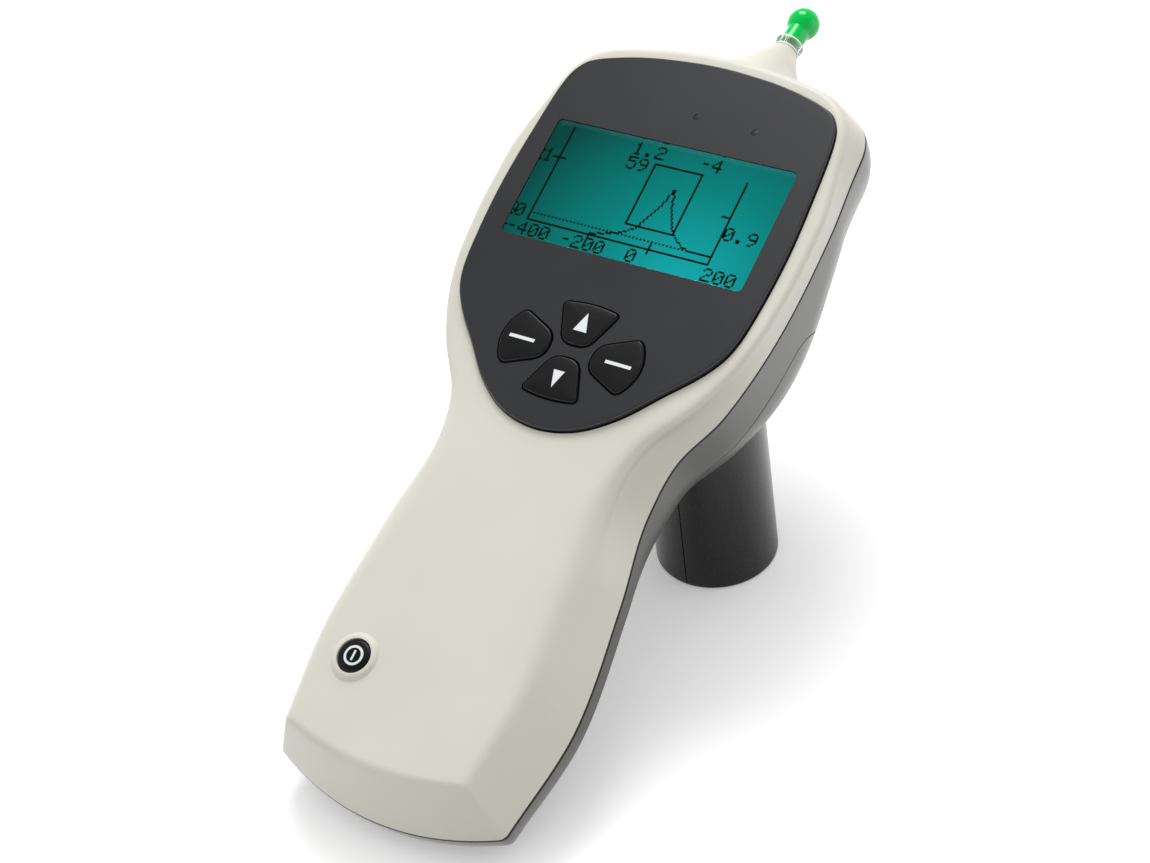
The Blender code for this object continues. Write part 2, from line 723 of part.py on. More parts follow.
def ellipse(half_width, half_height, steps=ROUND_STEPS):
    angles = [math.tau * i / steps for i in range(steps)]
    return [Vector((half_width * math.cos(a), half_height * math.sin(a))) for a in angles]


def power_height():
    return top_height(POWER_X, POWER_Y)


def add_shell_cutters(body, nose):
    """Solids that the two shells and the battery housing share as cutters."""
    cavity = housing_loft("housing_cavity", -WALL, body)
    posts = post_group(
        "screw_posts", BOSS_RADIUS, lambda y: belly_height(y) - OVERRUN, lambda x, y: OVERRUN, body)
    boolean(cavity, posts)
    nose_hole = rod("nose_hole", NECK_RADIUS + GAP, -BLOCK_FRONT - OVERRUN, NECK_LENGTH, nose)
    pilot = post_group(
        "screw_holes", SCREW_RADIUS + GAP, lambda y: parting_height(y) - SCREW_LAND - OVERRUN,
        lambda x, y: parting_height(y) + SCREW_REACH + GAP, body)
    wells = post_group(
        "screw_wells", SCREW_HEAD_RADIUS + GAP, lambda y: belly_height(y) - OVERRUN,
        lambda x, y: parting_height(y) - SCREW_LAND, body)
    return cavity, nose_hole, pilot, wells


def add_top_shell(body, look, cavity, nose_hole, pilot):
    """Cream upper shell with the panel's recess, its openings and the power key's collar."""
    shell = housing_loft("top_shell", 0, body, look)
    boolean(shell, parting_box("upper_side", 1, body), "INTERSECT")
    boolean(shell, cavity)
    collar_top = power_height() + POWER_COLLAR_RISE
    collar = ((0, collar_top), (POWER_COLLAR_RADIUS - POWER_COLLAR_RISE, collar_top),
              (POWER_COLLAR_RADIUS, power_height() - POWER_COLLAR_RISE / 2),
              (POWER_COLLAR_RADIUS, power_height() - POWER_COLLAR_ROOT),
              (0, power_height() - POWER_COLLAR_ROOT))
    boolean(shell, turned("power_collar", collar, body, location=(POWER_X, POWER_Y, 0)), "UNION")
    hole_low = power_height() - WALL - OVERRUN
    hole = rod("power_hole", POWER_RADIUS + GAP, hole_low, collar_top + OVERRUN, body,
               location=(POWER_X, POWER_Y, 0), turn=(0, 0, math.pi / ROUND_STEPS), steps=ROUND_STEPS)
    boolean(shell, hole)
    recess = prism("panel_recess", [grown(panel_outline(), GAP)], -PANEL_THICKNESS - GAP, OVERRUN, body)
    boolean(shell, recess)
    margin = DISPLAY_OPENING_MARGIN
    openings = [rectangle(DISPLAY_HALF_WIDTH + margin, DISPLAY_LOW - margin, DISPLAY_HIGH + margin, margin),
                ellipse(KEY_REACH_ASIDE + KEY_OPENING_MARGIN, KEY_REACH_UP + KEY_OPENING_MARGIN)]
    openings += [circle(place, LIGHT_RADIUS + GAP) for place in LIGHT_PLACES]
    boolean(shell, prism("panel_openings", openings, BOARD_Z, OVERRUN, body))
    boolean(shell, nose_hole)
    boolean(shell, pilot)
    return shell


def add_bottom_shell(body, look, cavity, nose_hole, pilot, wells, pod_clearance):
    """Dark lower shell, open at the belly where the battery housing sits."""
    shell = housing_loft("bottom_shell", 0, body, look)
    boolean(shell, parting_box("lower_side", -1, body), "INTERSECT")
    boolean(shell, cavity)
    boolean(shell, arch_cutter("belly_opening", GAP / 2, body))
    boolean(shell, pod_clearance)
    boolean(shell, nose_hole)
    boolean(shell, pilot)
    boolean(shell, wells)
    return shell


def add_battery_housing(body, pod, look, cavity, cell_top):
    """Belly cover with the fixed half of the pod and the tube that holds the cells."""
    housing = housing_loft("battery_housing", 0, body, look)
    boolean(housing, arch_cutter("belly_cover_shape", -GAP / 2, body), "INTERSECT")
    boolean(housing, cavity)
    tube_top = cell_top + POD_CAP
    tube = ((0, tube_top), (POD_RADIUS, tube_top), (POD_RADIUS, POD_EDGE), (POD_RADIUS - POD_EDGE, 0), (0, 0))
    boolean(housing, turned("pod_tube", tube, pod), "UNION")
    bore = rod("pod_bore", POD_RADIUS - POD_WALL, POD_FLOOR, cell_top, pod, steps=ROUND_STEPS)
    boolean(housing, bore)
    boolean(housing, cover_space("cover_space", GAP / 2, COVER_REBATE, body, pod))
    return housing


def cover_space(name, side, height, body, pod):
    """Space of the lift-off pod half: left of the seam and below the belly."""
    wide = POD_RADIUS + OVERRUN
    space = rod(name, wide, -OVERRUN, CELL_LENGTH, pod, steps=ROUND_STEPS)
    boolean(space, box(name + "_right", (side, -wide * 2, -wide), (wide * 2, wide * 2, CELL_LENGTH * 2), pod))
    top = BELLY_Z + height
    boolean(space, box(name + "_above", (-wide * 2, -wide * 4, top), (wide * 4, wide * 4, CELL_LENGTH), body))
    return space


def add_battery_cover(body, pod, look):
    """Lift-off half of the pod, with half of its foot."""
    shape = ((0, CELL_LENGTH), (POD_RADIUS, CELL_LENGTH), (POD_RADIUS, POD_EDGE), (POD_RADIUS - POD_EDGE, 0),
             (0, 0))
    cover = turned("battery_cover", shape, pod, look)
    bore = rod("cover_bore", POD_RADIUS - POD_WALL, POD_FLOOR, CELL_LENGTH + OVERRUN, pod, steps=ROUND_STEPS)
    boolean(cover, bore)
    boolean(cover, cover_space("cover_shape", -GAP / 2, -GAP, body, pod), "INTERSECT")
    return cover


def add_cells(pod, looks):
    """Four cells in a square bundle, one turned over beside the next, with their contacts."""
    low = POD_FLOOR + GAP * 2 + CONTACT_THICKNESS
    shoulder = CELL_LENGTH - CELL_NUB_HEIGHT
    profile = ((0, CELL_LENGTH), (CELL_NUB_RADIUS, CELL_LENGTH), (CELL_NUB_RADIUS, shoulder),
               (CELL_RADIUS, shoulder), (CELL_RADIUS, 0), (0, 0))
    number = 0
    for x in (-1, 1):
        for y in (-1, 1):
            number += 1
            upright = x * y > 0
            base = low if upright else low + CELL_LENGTH
            turn = (0, 0, 0) if upright else (math.pi, 0, 0)
            turned(f"cell_{number}", profile, pod, looks["cell"], (x * CELL_SPREAD, y * CELL_SPREAD, base), turn,
                   SMALL_STEPS)
    for name, side in (("cover_contact", -1), ("pod_contact", 1)):
        inner = CELL_SPREAD - CELL_NUB_RADIUS * 1.5
        outer = CELL_SPREAD + CELL_NUB_RADIUS
        x_low, x_high = sorted((side * inner, side * outer))
        box(name, (x_low, -outer, POD_FLOOR + GAP), (x_high, outer, POD_FLOOR + GAP + CONTACT_THICKNESS), pod,
            looks["nickel"])
    spring_low = low + CELL_LENGTH + GAP
    spring_top = spring_low + SPRING_HEIGHT
    wide = CELL_SPREAD + SPRING_RADIUS / 2
    plate = box("battery_springs", (-wide, -wide, spring_top - CONTACT_THICKNESS), (wide, wide, spring_top), pod,
                looks["nickel"])
    bm = bmesh.new()
    for x in (-CELL_SPREAD, CELL_SPREAD):
        for y in (-CELL_SPREAD, CELL_SPREAD):
            high = spring_top - CONTACT_THICKNESS / 2
            place = Matrix.Translation((x, y, (spring_low + high) / 2))
            bmesh.ops.create_cone(bm, cap_ends=True, segments=SMALL_STEPS, radius1=CELL_NUB_RADIUS,
                                  radius2=SPRING_RADIUS, depth=high - spring_low, matrix=place)
    boolean(plate, add_object("spring_cones", mesh_from(bm, "spring_cones"), pod), "UNION")


def cell_top_height():
    """Height in the pod of the cap over the cells' springs."""
    return POD_FLOOR + GAP * 4 + CONTACT_THICKNESS + CELL_LENGTH + SPRING_HEIGHT


def add_panel(body, looks):
    """Charcoal front panel with the display window and the two indicator lights."""
    holes = [rectangle(DISPLAY_HALF_WIDTH, DISPLAY_LOW, DISPLAY_HIGH, DISPLAY_CORNER)]
    holes += [grown(outline, GAP) for outline in key_outlines().values()]
    holes += [circle(place, LIGHT_RADIUS + GAP) for place in LIGHT_PLACES]
    panel = prism("display_panel", [panel_outline()] + holes, -PANEL_THICKNESS, 0, body, looks["panel"])
    soften(panel, PANEL_BEVEL, 1)
    window = rectangle(DISPLAY_HALF_WIDTH - GAP, DISPLAY_LOW + GAP, DISPLAY_HIGH - GAP, DISPLAY_CORNER)
    prism("display_window", [window], -PANEL_THICKNESS, -WINDOW_SINK, body, looks["clear"])
    for name, place in zip(("left_light_guide", "right_light_guide"), LIGHT_PLACES):
        rod(name, LIGHT_RADIUS, BOARD_Z + GAP, -WINDOW_SINK, body, looks["clear"], (*place, 0))


def add_display(body, looks):
    """Liquid-crystal glass and its backlight, stacked on the board."""
    wide = DISPLAY_HALF_WIDTH + GLASS_MARGIN
    low = DISPLAY_LOW - GLASS_MARGIN
    high = DISPLAY_HIGH + GLASS_MARGIN
    glass_top = -PANEL_THICKNESS - GAP
    glass_low = glass_top - GLASS_THICKNESS
    box("lcd_glass", (-wide, low, glass_low), (wide, high, glass_top), body, looks["lcd"])
    inset = GLASS_MARGIN
    box("lcd_backlight", (inset - wide, low + inset, BOARD_Z + GAP), (wide - inset, high - inset, glass_low - GAP),
        body, looks["white"])


def add_keys(body, looks):
    """Four fan-shaped keys, each with a flange behind the panel, over a rubber mat."""
    flange_top = -PANEL_THICKNESS - GAP
    flange_low = flange_top - KEY_FLANGE_THICKNESS
    for name, outline in key_outlines().items():
        middle = sum(outline, Vector((0, 0))) / len(outline)
        local = [point - middle for point in outline]
        key = prism(name, [local], flange_low + GAP, KEY_RISE, body, looks["key"], (*middle, 0))
        soften(key, KEY_EDGE, 1)
        flange = prism(name + "_flange", [grown(local, KEY_FLANGE)], flange_low, flange_top, body,
                       location=(*middle, 0))
        boolean(key, flange, "UNION")
    dome_top = flange_low - KEY_TRAVEL - GAP
    mat_top = BOARD_Z + GAP + KEY_FLANGE_THICKNESS
    wide = KEY_REACH_ASIDE + KEY_OPENING_MARGIN - KEY_FLANGE
    tall = KEY_REACH_UP + KEY_OPENING_MARGIN - KEY_FLANGE
    mat = prism("key_mat", [rectangle(wide, -tall, tall, KEY_INNER_ROUND)], BOARD_Z + GAP, mat_top, body,
                looks["mat"])
    bm = bmesh.new()
    for outline in key_outlines().values():
        middle = sum(outline, Vector((0, 0))) / len(outline)
        low = mat_top - KEY_FLANGE_THICKNESS / 2
        place = Matrix.Translation((*middle, (low + dome_top) / 2))
        bmesh.ops.create_cone(bm, cap_ends=True, segments=SMALL_STEPS, radius1=KEY_DOME_RADIUS,
                              radius2=KEY_DOME_RADIUS * 0.8, depth=dome_top - low, matrix=place)
    boolean(mat, add_object("key_domes", mesh_from(bm, "key_domes"), body), "UNION")


def add_power_key(body, looks):
    """Round power key in its collar, over a switch on the board."""
    place = (POWER_X, POWER_Y, 0)
    top = power_height() + POWER_COLLAR_RISE + GAP / 2
    ceiling = top_height(POWER_X - POWER_RADIUS - POWER_FLANGE, POWER_Y - POWER_RADIUS) - WALL - GAP
    low = ceiling - KEY_FLANGE_THICKNESS
    wide = POWER_RADIUS + POWER_FLANGE
    profile = ((0, top), (POWER_RADIUS - KEY_EDGE, top), (POWER_RADIUS, top - KEY_EDGE), (POWER_RADIUS, ceiling),
               (wide, ceiling), (wide, low), (0, low))
    turned("power_key", profile, body, looks["key"], place)
    half = POWER_SWITCH_SIZE / 2
    box("power_switch", (POWER_X - half, POWER_Y - half, BOARD_Z + GAP),
        (POWER_X + half, POWER_Y + half, low - KEY_TRAVEL - GAP), body, looks["dark"])


def add_board(body, looks):
    """Long circuit board, wide under the display and narrow down the handle."""
    head = BOARD_HEAD_HALF_WIDTH
    handle = BOARD_HANDLE_HALF_WIDTH
    shoulder = BOARD_SHOULDER
    half = [(handle, BOARD_BOTTOM), (handle, shoulder - (head - handle)), (head, shoulder), (head, BOARD_TOP)]
    prism("main_board", [mirrored(half)], BOARD_Z - BOARD_THICKNESS, BOARD_Z, body, looks["board"])


def add_screws(body, looks):
    """The screws that join the shells, driven from the back."""
    for number, (x, y) in enumerate(screw_places(), 1):
        land = parting_height(y) - SCREW_LAND - GAP
        tip = parting_height(y) + SCREW_REACH
        low = land - SCREW_HEAD_HEIGHT
        profile = ((0, tip), (SCREW_RADIUS, tip), (SCREW_RADIUS, land), (SCREW_HEAD_RADIUS, land),
                   (SCREW_HEAD_RADIUS, low), (0, low))
        turned(f"housing_screw_{number}", profile, body, looks["steel"], (x, y, 0), steps=SMALL_STEPS)


def add_probe(nose, envelope, looks):
    """Ear probe: block in the head, nose cone over its neck, clear ring and soft ear tip."""
    block = ((0, NECK_LENGTH), (NECK_RADIUS, NECK_LENGTH), (NECK_RADIUS, -BLOCK_FRONT), (BLOCK_RADIUS, -BLOCK_FRONT),
             (BLOCK_RADIUS, -BLOCK_BACK), (0, -BLOCK_BACK))
    turned("probe_block", block, nose, looks["dark"], steps=24)
    flange_low = NECK_LENGTH + GAP
    flange_top = flange_low + PROBE_FLANGE_THICKNESS
    tube = ((0, PROBE_TUBE_END), (PROBE_TUBE_RADIUS, PROBE_TUBE_END), (PROBE_TUBE_RADIUS, flange_top),
            (PROBE_FLANGE_RADIUS, flange_top), (PROBE_FLANGE_RADIUS, flange_low), (0, flange_low))
    turned("probe_tube", tube, nose, looks["steel"], steps=SMALL_STEPS)
    socket = NECK_RADIUS + GAP
    socket_top = flange_top + GAP
    bore = PROBE_TUBE_RADIUS + GAP
    spread = CONE_BASE_RADIUS - CONE_TIP_RADIUS
    outer = [(CONE_TIP_RADIUS + spread * flare, CONE_LENGTH * along) for along, flare in CONE_CURVE_SHARES]
    outer = outer[::-1] + [(CONE_BASE_RADIUS, -CONE_ROOT)]
    profile = [(bore, CONE_LENGTH)] + outer + [(socket, -CONE_ROOT), (socket, socket_top), (bore, socket_top)]
    cone = turned("nose_cone", profile, nose, looks["cream"], loop=True)
    boolean(cone, envelope)
    ring_low = CONE_LENGTH + GAP
    ring_top = ring_low + RING_LENGTH
    ring_outer = CONE_TIP_RADIUS + RING_LIP
    ring_inner = ring_outer - RING_WALL
    ring = ((ring_inner, ring_top), (ring_outer, ring_top), (CONE_TIP_RADIUS, ring_low), (bore, ring_low),
            (bore, ring_low + RING_WALL), (ring_inner, ring_low + RING_WALL))
    turned("cone_ring", ring, nose, looks["clear"], steps=24, loop=True)
    stem_low = ring_low + RING_WALL + GAP
    add_ear_tip(nose, looks["green"], stem_low, bore)


def add_ear_tip(nose, look, stem_low, bore):
    """Soft mushroom-shaped tip: a stem that pushes over the probe tube and a round bulb."""
    socket_top = PROBE_TUBE_END + GAP
    waist = TIP_BULB_CENTRE - math.sqrt(TIP_BULB_RADIUS ** 2 - TIP_STEM_RADIUS ** 2)
    top_angle = math.asin(TIP_MOUTH / TIP_BULB_RADIUS)
    tip_end = TIP_BULB_CENTRE + TIP_BULB_RADIUS * math.cos(top_angle)
    profile = [(TIP_BORE, tip_end - TIP_SINK)]
    low_angle = math.acos((waist - TIP_BULB_CENTRE) / TIP_BULB_RADIUS)
    for i in range(7):
        angle = top_angle + (low_angle - top_angle) * i / 6
        profile.append((TIP_BULB_RADIUS * math.sin(angle), TIP_BULB_CENTRE + TIP_BULB_RADIUS * math.cos(angle)))
    profile += [(TIP_STEM_RADIUS, stem_low), (bore, stem_low), (bore, socket_top), (TIP_BORE, socket_top)]
    turned("ear_tip", profile, nose, look, steps=20, loop=True)


def add_pump(body, looks):
    """Air pump: motor, lead screw, piston and barrel hung under the board by a bracket."""
    along = (math.radians(-90.0), 0, 0)
    axis = (PUMP_X, 0, PUMP_Z)
    rod("pump_motor", MOTOR_RADIUS, MOTOR_BACK, MOTOR_FRONT, body, looks["steel"], axis, along, 24)
    roof = BOARD_Z - BOARD_THICKNESS - GAP
    wide = MOTOR_RADIUS + BRACKET_MARGIN
    wall_low = MOTOR_FRONT + GAP
    wall_high = wall_low + BRACKET_WALL
    bracket = box("pump_bracket", (PUMP_X - wide, MOTOR_BACK, roof - BRACKET_THICKNESS),
                  (PUMP_X + wide, BARREL_FRONT, roof), body, looks["steel"])
    floor = PUMP_Z - MOTOR_RADIUS / 2
    wall = box("bracket_wall", (PUMP_X - wide, wall_low, floor), (PUMP_X + wide, wall_high, roof - GAP), body)
    boolean(bracket, wall, "UNION")
    boolean(bracket, rod("bracket_hole", PUMP_SCREW_RADIUS + GAP, MOTOR_FRONT, wall_high + GAP, body,
                         location=axis, turn=along))
    barrel_profile = [(NIPPLE_RADIUS, BARREL_FRONT + NIPPLE_LENGTH), (NIPPLE_RADIUS, BARREL_FRONT),
                      (BARREL_RADIUS, BARREL_FRONT), (BARREL_RADIUS, BARREL_BACK), (BARREL_BORE, BARREL_BACK),
                      (BARREL_BORE, BARREL_FRONT - BRACKET_WALL), (0, BARREL_FRONT - BRACKET_WALL)]
    barrel_profile.insert(0, (0, BARREL_FRONT + NIPPLE_LENGTH))
    turned("pump_barrel", barrel_profile, body, looks["white"], axis, along, 24)
    add_piston(body, looks, axis, along, wall_high)


def add_piston(body, looks, axis, along, wall_high):
    """Piston with its hollow rod, and the lead screw that drives it from inside."""
    screw_low = MOTOR_FRONT + GAP
    rod_low = wall_high + BARREL_BORE
    piston_low = BARREL_BACK + BRACKET_MARGIN
    piston_high = piston_low + PISTON_LENGTH
    head = BARREL_BORE - GAP
    inner = PUMP_SCREW_RADIUS + GAP
    bore_top = piston_high - BRACKET_WALL
    profile = ((0, piston_high), (head, piston_high), (head, piston_low), (PISTON_ROD_RADIUS, piston_low),
               (PISTON_ROD_RADIUS, rod_low), (inner, rod_low), (inner, bore_top), (0, bore_top))
    turned("pump_piston", profile, body, looks["white"], axis, along, 24)
    rod("pump_screw", PUMP_SCREW_RADIUS, screw_low, bore_top - GAP, body, looks["steel"], axis, along)


def add_sensors(body, nose, looks):
    """Receiver and microphone behind the probe block, the pressure sensor and the air tube."""
    back = -BLOCK_BACK - GAP
    side = BLOCK_RADIUS / 2
    rod("receiver", RECEIVER_RADIUS, back - RECEIVER_LENGTH, back, nose, looks["steel"], (side, 0, 0))
    rod("microphone", MICROPHONE_RADIUS, back - MICROPHONE_LENGTH, back, nose, looks["steel"],
        (-GAP, -side - GAP, 0))
    x, y = SENSOR_PLACE
    half = SENSOR_SIZE / 2
    roof = BOARD_Z - BOARD_THICKNESS - GAP
    box("pressure_sensor", (x - half, y - half, roof - SENSOR_HEIGHT), (x + half, y + half, roof), body,
        looks["dark"])
    add_air_tube(body, looks["rubber"], side)


def add_air_tube(body, look, side):
    """Soft tube from the barrel's nipple to the back of the probe block."""
    start = Vector((PUMP_X, BARREL_FRONT + NIPPLE_LENGTH + GAP, PUMP_Z))
    forward = Vector((0, 1, 0))
    nose_way = Vector((0, math.cos(NOSE_DIP), -math.sin(NOSE_DIP)))
    end = Vector((-side, NOSE_Y, NOSE_Z)) - nose_way * (BLOCK_BACK + GAP)
    run = (end.y - start.y) / 2
    handles = (start, start + forward * run, end - nose_way * run, end)
    curve = bpy.data.curves.new("air_tube_route", "CURVE")
    curve.dimensions = "3D"
    curve.bevel_depth = AIR_TUBE_RADIUS
    curve.bevel_resolution = 2
    curve.use_fill_caps = True
    spline = curve.splines.new("POLY")
    spline.points.add(12)
    for i, point in enumerate(spline.points):
        t = i / 12
        weights = ((1 - t) ** 3, 3 * t * (1 - t) ** 2, 3 * t ** 2 * (1 - t), t ** 3)
        place = sum((handle * weight for handle, weight in zip(handles, weights)), Vector())
        point.co = (*place, 1)
    drawn = bpy.data.objects.new("air_tube_route", curve)
    bpy.data.collections["cutters"].objects.link(drawn)
    bpy.context.view_layer.update()
    mesh = bpy.data.meshes.new_from_object(drawn.evaluated_get(bpy.context.evaluated_depsgraph_get()))
    bpy.data.objects.remove(drawn)
    bm = bmesh.new()
    bm.from_mesh(mesh)
    bmesh.ops.remove_doubles(bm, verts=bm.verts, dist=MERGE)
    bmesh.ops.recalc_face_normals(bm, faces=bm.faces)
    bpy.data.meshes.remove(mesh)
    add_object("air_tube", mesh_from(bm, "air_tube"), body, look)


def stand_on_floor(body):
    """Move the body frame so that the part stands on z = 0 with its middle over the origin."""
    bpy.context.view_layer.update()
    depsgraph = bpy.context.evaluated_depsgraph_get()
    corners = []
    for thing in bpy.data.collections["tympanometer"].objects:
        if thing.type == "MESH":
            solid = thing.evaluated_get(depsgraph)
            corners += [solid.matrix_world @ vertex.co for vertex in solid.data.vertices]
    low = [min(corner[axis] for corner in corners) for axis in range(3)]
    high = [max(corner[axis] for corner in corners) for axis in range(3)]
    body.location = (-(low[0] + high[0]) / 2, -(low[1] + high[1]) / 2, -low[2])
    bpy.context.view_layer.update()


def build():
    clear_scene()
    looks = {
        "cream": material("cream_abs", (0.67, 0.65, 0.58), 0.42),
        "shell": material("grey_abs", (0.16, 0.16, 0.15), 0.45),
        "panel": material("charcoal_panel", (0.05, 0.05, 0.052), 0.35),
        "key": material("black_key_rubber", (0.015, 0.015, 0.017), 0.5),
        "clear": material("clear_plastic", (0.9, 0.95, 0.93), 0.1, transmission=0.9),
        "lcd": material("lcd_glass", (0.0, 0.2, 0.19), 0.15),
        "white": material("white_plastic", (0.8, 0.8, 0.78), 0.5),
        "mat": material("grey_silicone", (0.2, 0.2, 0.2), 0.7),
        "rubber": material("clear_tube_rubber", (0.6, 0.6, 0.55), 0.5),
        "board": material("green_board", (0.02, 0.14, 0.06), 0.5),
        "dark": material("black_plastic", (0.03, 0.03, 0.03), 0.5),
        "steel": material("bright_steel", (0.6, 0.6, 0.6), 0.3, 1.0),
        "nickel": material("nickel_plate", (0.62, 0.6, 0.56), 0.25, 1.0),
        "cell": material("cell_sleeve", (0.25, 0.25, 0.27), 0.4),
        "green": material("green_silicone", (0.0, 0.42, 0.08), 0.35)}
    body = add_empty("tympanometer_frame", None, turn=(TILT, 0, 0))
    pod = add_empty("pod_frame", body, pod_base(), (-TILT, 0, 0))
    nose = add_empty("nose_frame", body, (0, NOSE_Y, NOSE_Z), (-math.radians(90.0) - NOSE_DIP, 0, 0))
    cell_top = cell_top_height()
    cavity, nose_hole, pilot, wells = add_shell_cutters(body, nose)
    clearance = rod("pod_clearance", POD_RADIUS + GAP, -OVERRUN, cell_top + POD_CAP + GAP, pod, steps=ROUND_STEPS)
    add_top_shell(body, looks["cream"], cavity, nose_hole, pilot)
    add_bottom_shell(body, looks["shell"], cavity, nose_hole, pilot, wells, clearance)
    add_battery_housing(body, pod, looks["shell"], cavity, cell_top)
    add_battery_cover(body, pod, looks["shell"])
    add_cells(pod, looks)
    add_panel(body, looks)
    add_display(body, looks)
    add_keys(body, looks)
    add_power_key(body, looks)
    add_board(body, looks)
    add_screws(body, looks)
    add_probe(nose, housing_loft("housing_envelope", GAP, body), looks)
    add_pump(body, looks)
    add_sensors(body, nose, looks)
    stand_on_floor(body)


build()
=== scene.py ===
import math

import bmesh
import bpy
from mathutils import Matrix, Vector


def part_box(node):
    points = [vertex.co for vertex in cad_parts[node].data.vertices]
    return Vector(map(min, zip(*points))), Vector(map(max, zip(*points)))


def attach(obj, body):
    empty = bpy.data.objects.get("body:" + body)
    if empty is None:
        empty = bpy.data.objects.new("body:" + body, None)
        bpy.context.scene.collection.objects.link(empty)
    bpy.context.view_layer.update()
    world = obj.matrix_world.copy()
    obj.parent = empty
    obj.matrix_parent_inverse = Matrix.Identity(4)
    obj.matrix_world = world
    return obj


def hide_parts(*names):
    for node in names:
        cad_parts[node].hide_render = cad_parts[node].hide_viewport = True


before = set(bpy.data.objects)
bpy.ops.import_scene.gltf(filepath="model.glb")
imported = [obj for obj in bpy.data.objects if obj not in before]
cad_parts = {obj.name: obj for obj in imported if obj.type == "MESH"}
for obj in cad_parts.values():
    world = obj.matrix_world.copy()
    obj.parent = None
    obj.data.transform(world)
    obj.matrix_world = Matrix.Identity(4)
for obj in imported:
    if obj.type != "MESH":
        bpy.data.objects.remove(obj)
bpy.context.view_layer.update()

# Stance
# The instrument is drawn in its own body frame: x to the right, y towards the ear probe, z out of
# the face, with y = 0 between the keys and z = 0 on the front panel. It is tipped back on its pod
# and its tail, and the display window's middle fixes where the body frame lies.
TILT = math.radians(25.0)
DISPLAY_HALF_WIDTH = 0.0312
DISPLAY_LOW = 0.02405
DISPLAY_HIGH = 0.05545
PANEL_THICKNESS = 0.002
WINDOW_SINK = 0.0002
window_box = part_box("display_window")
window_middle = Vector((0, (DISPLAY_LOW + DISPLAY_HIGH) / 2, -(WINDOW_SINK + PANEL_THICKNESS) / 2))
tip_back = Matrix.Rotation(TILT, 4, "X")
BODY = Matrix.Translation((window_box[0] + window_box[1]) / 2 - tip_back.to_3x3() @ window_middle) @ tip_back

# Top shell
# The cream half of the housing is one ABS moulding with a fine spark-eroded grain. It is screwed
# to the dark half from the back, takes the front panel in a shallow recess and has a raised collar
# round the power key.
WALL = 0.0024
GAP = 0.0003
RIM = 0.00025
OVERRUN = 0.004
MERGE = 0.00001
HEAD_HALF_WIDTH = 0.0398
HEAD_END = 0.0817
HEAD_CORNER_DROP = 0.0063
HEAD_CORNER_ROUND = 0.0084
TAIL_END = -0.1084
TAIL_CORNER_RISE = 0.0068
TAIL_CORNER_ROUND = 0.0014
PARTING_FLANK_SHARES = (
    (0.738, 0.0), (0.848, 0.155), (0.782, 0.308), (0.707, 0.426), (0.732, 0.5), (0.872, 0.573),
    (0.974, 0.695), (1.0, 0.843), (0.984, 0.921), (0.979, 1.0))
RIDGE_TAIL_END = -0.1009
RIDGE_TAIL_RISE = 0.0038
RIDGE_TAIL_ROUND = 0.0008
RIDGE_HEAD_SETBACK = 0.0004
RIDGE_FLANK_SHARES = (
    (0.585, 0.0), (0.638, 0.140), (0.605, 0.262), (0.581, 0.372), (0.655, 0.466), (0.851, 0.539),
    (0.970, 0.612), (1.034, 0.722), (1.038, 0.815), (0.957, 0.925), (0.877, 1.0))
PARTING_HEAD_Z = -0.0091
PARTING_TAIL_Z = -0.0168
TOP_Z = -0.0012
TOP_TAIL_FALL = 0.0002
CROWN_DROP = 0.0009
CROWN_POWER = 2.4
SPINE_TAIL = -0.0833
SPINE_HEAD = 0.054
HANDLE_START = -0.047
HANDLE_END = -0.016
RIDGE_FILLET = 0.0019
SHOULDER_FILLET = 0.0048
SHOULDER_HOLLOW = 0.0021
TAIL_STATIONS = 12
TAIL_CORNER_STATIONS = 8
FLANK_STATIONS = 84
HEAD_CORNER_STATIONS = 14
HEAD_STATIONS = 12
TOP_ROWS = 12
FILLET_ROWS = 8
FLANK_ROWS = 8
SIDE_SHARE = 0.45
SHARP_EDGE = math.radians(32.0)
RECTANGLE_CORNER_STEPS = 6


def smooth_value(points, place):
    """Value at a place on a smooth curve through (value, place) points, level where it turns back."""
    places = [point[1] for point in points]
    if place <= places[0]:
        return points[0][0]
    if place >= places[-1]:
        return points[-1][0]
    slopes = []
    for i in range(len(points)):
        before = points[max(i - 1, 0)]
        after = points[min(i + 1, len(points) - 1)]
        turns_back = 0 < i < len(points) - 1 and (points[i][0] - before[0]) * (after[0] - points[i][0]) <= 0
        slopes.append(0 if turns_back else (after[0] - before[0]) / (after[1] - before[1]))
    i = max(k for k in range(len(points) - 1) if places[k] <= place)
    span = places[i + 1] - places[i]
    t = (place - places[i]) / span
    start = (2 * t ** 3 - 3 * t ** 2 + 1) * points[i][0] + (t ** 3 - 2 * t ** 2 + t) * span * slopes[i]
    end = (3 * t ** 2 - 2 * t ** 3) * points[i + 1][0] + (t ** 3 - t ** 2) * span * slopes[i + 1]
    return start + end


def rounded(before, corner, after, steps):
    """Points that round off a corner, from one side of it to the other."""
    points = []
    for i in range(steps + 1):
        t = i / steps
        points.append(
            Vector(before) * (1 - t) ** 2 + Vector(corner) * 2 * t * (1 - t) + Vector(after) * t ** 2)
    return points


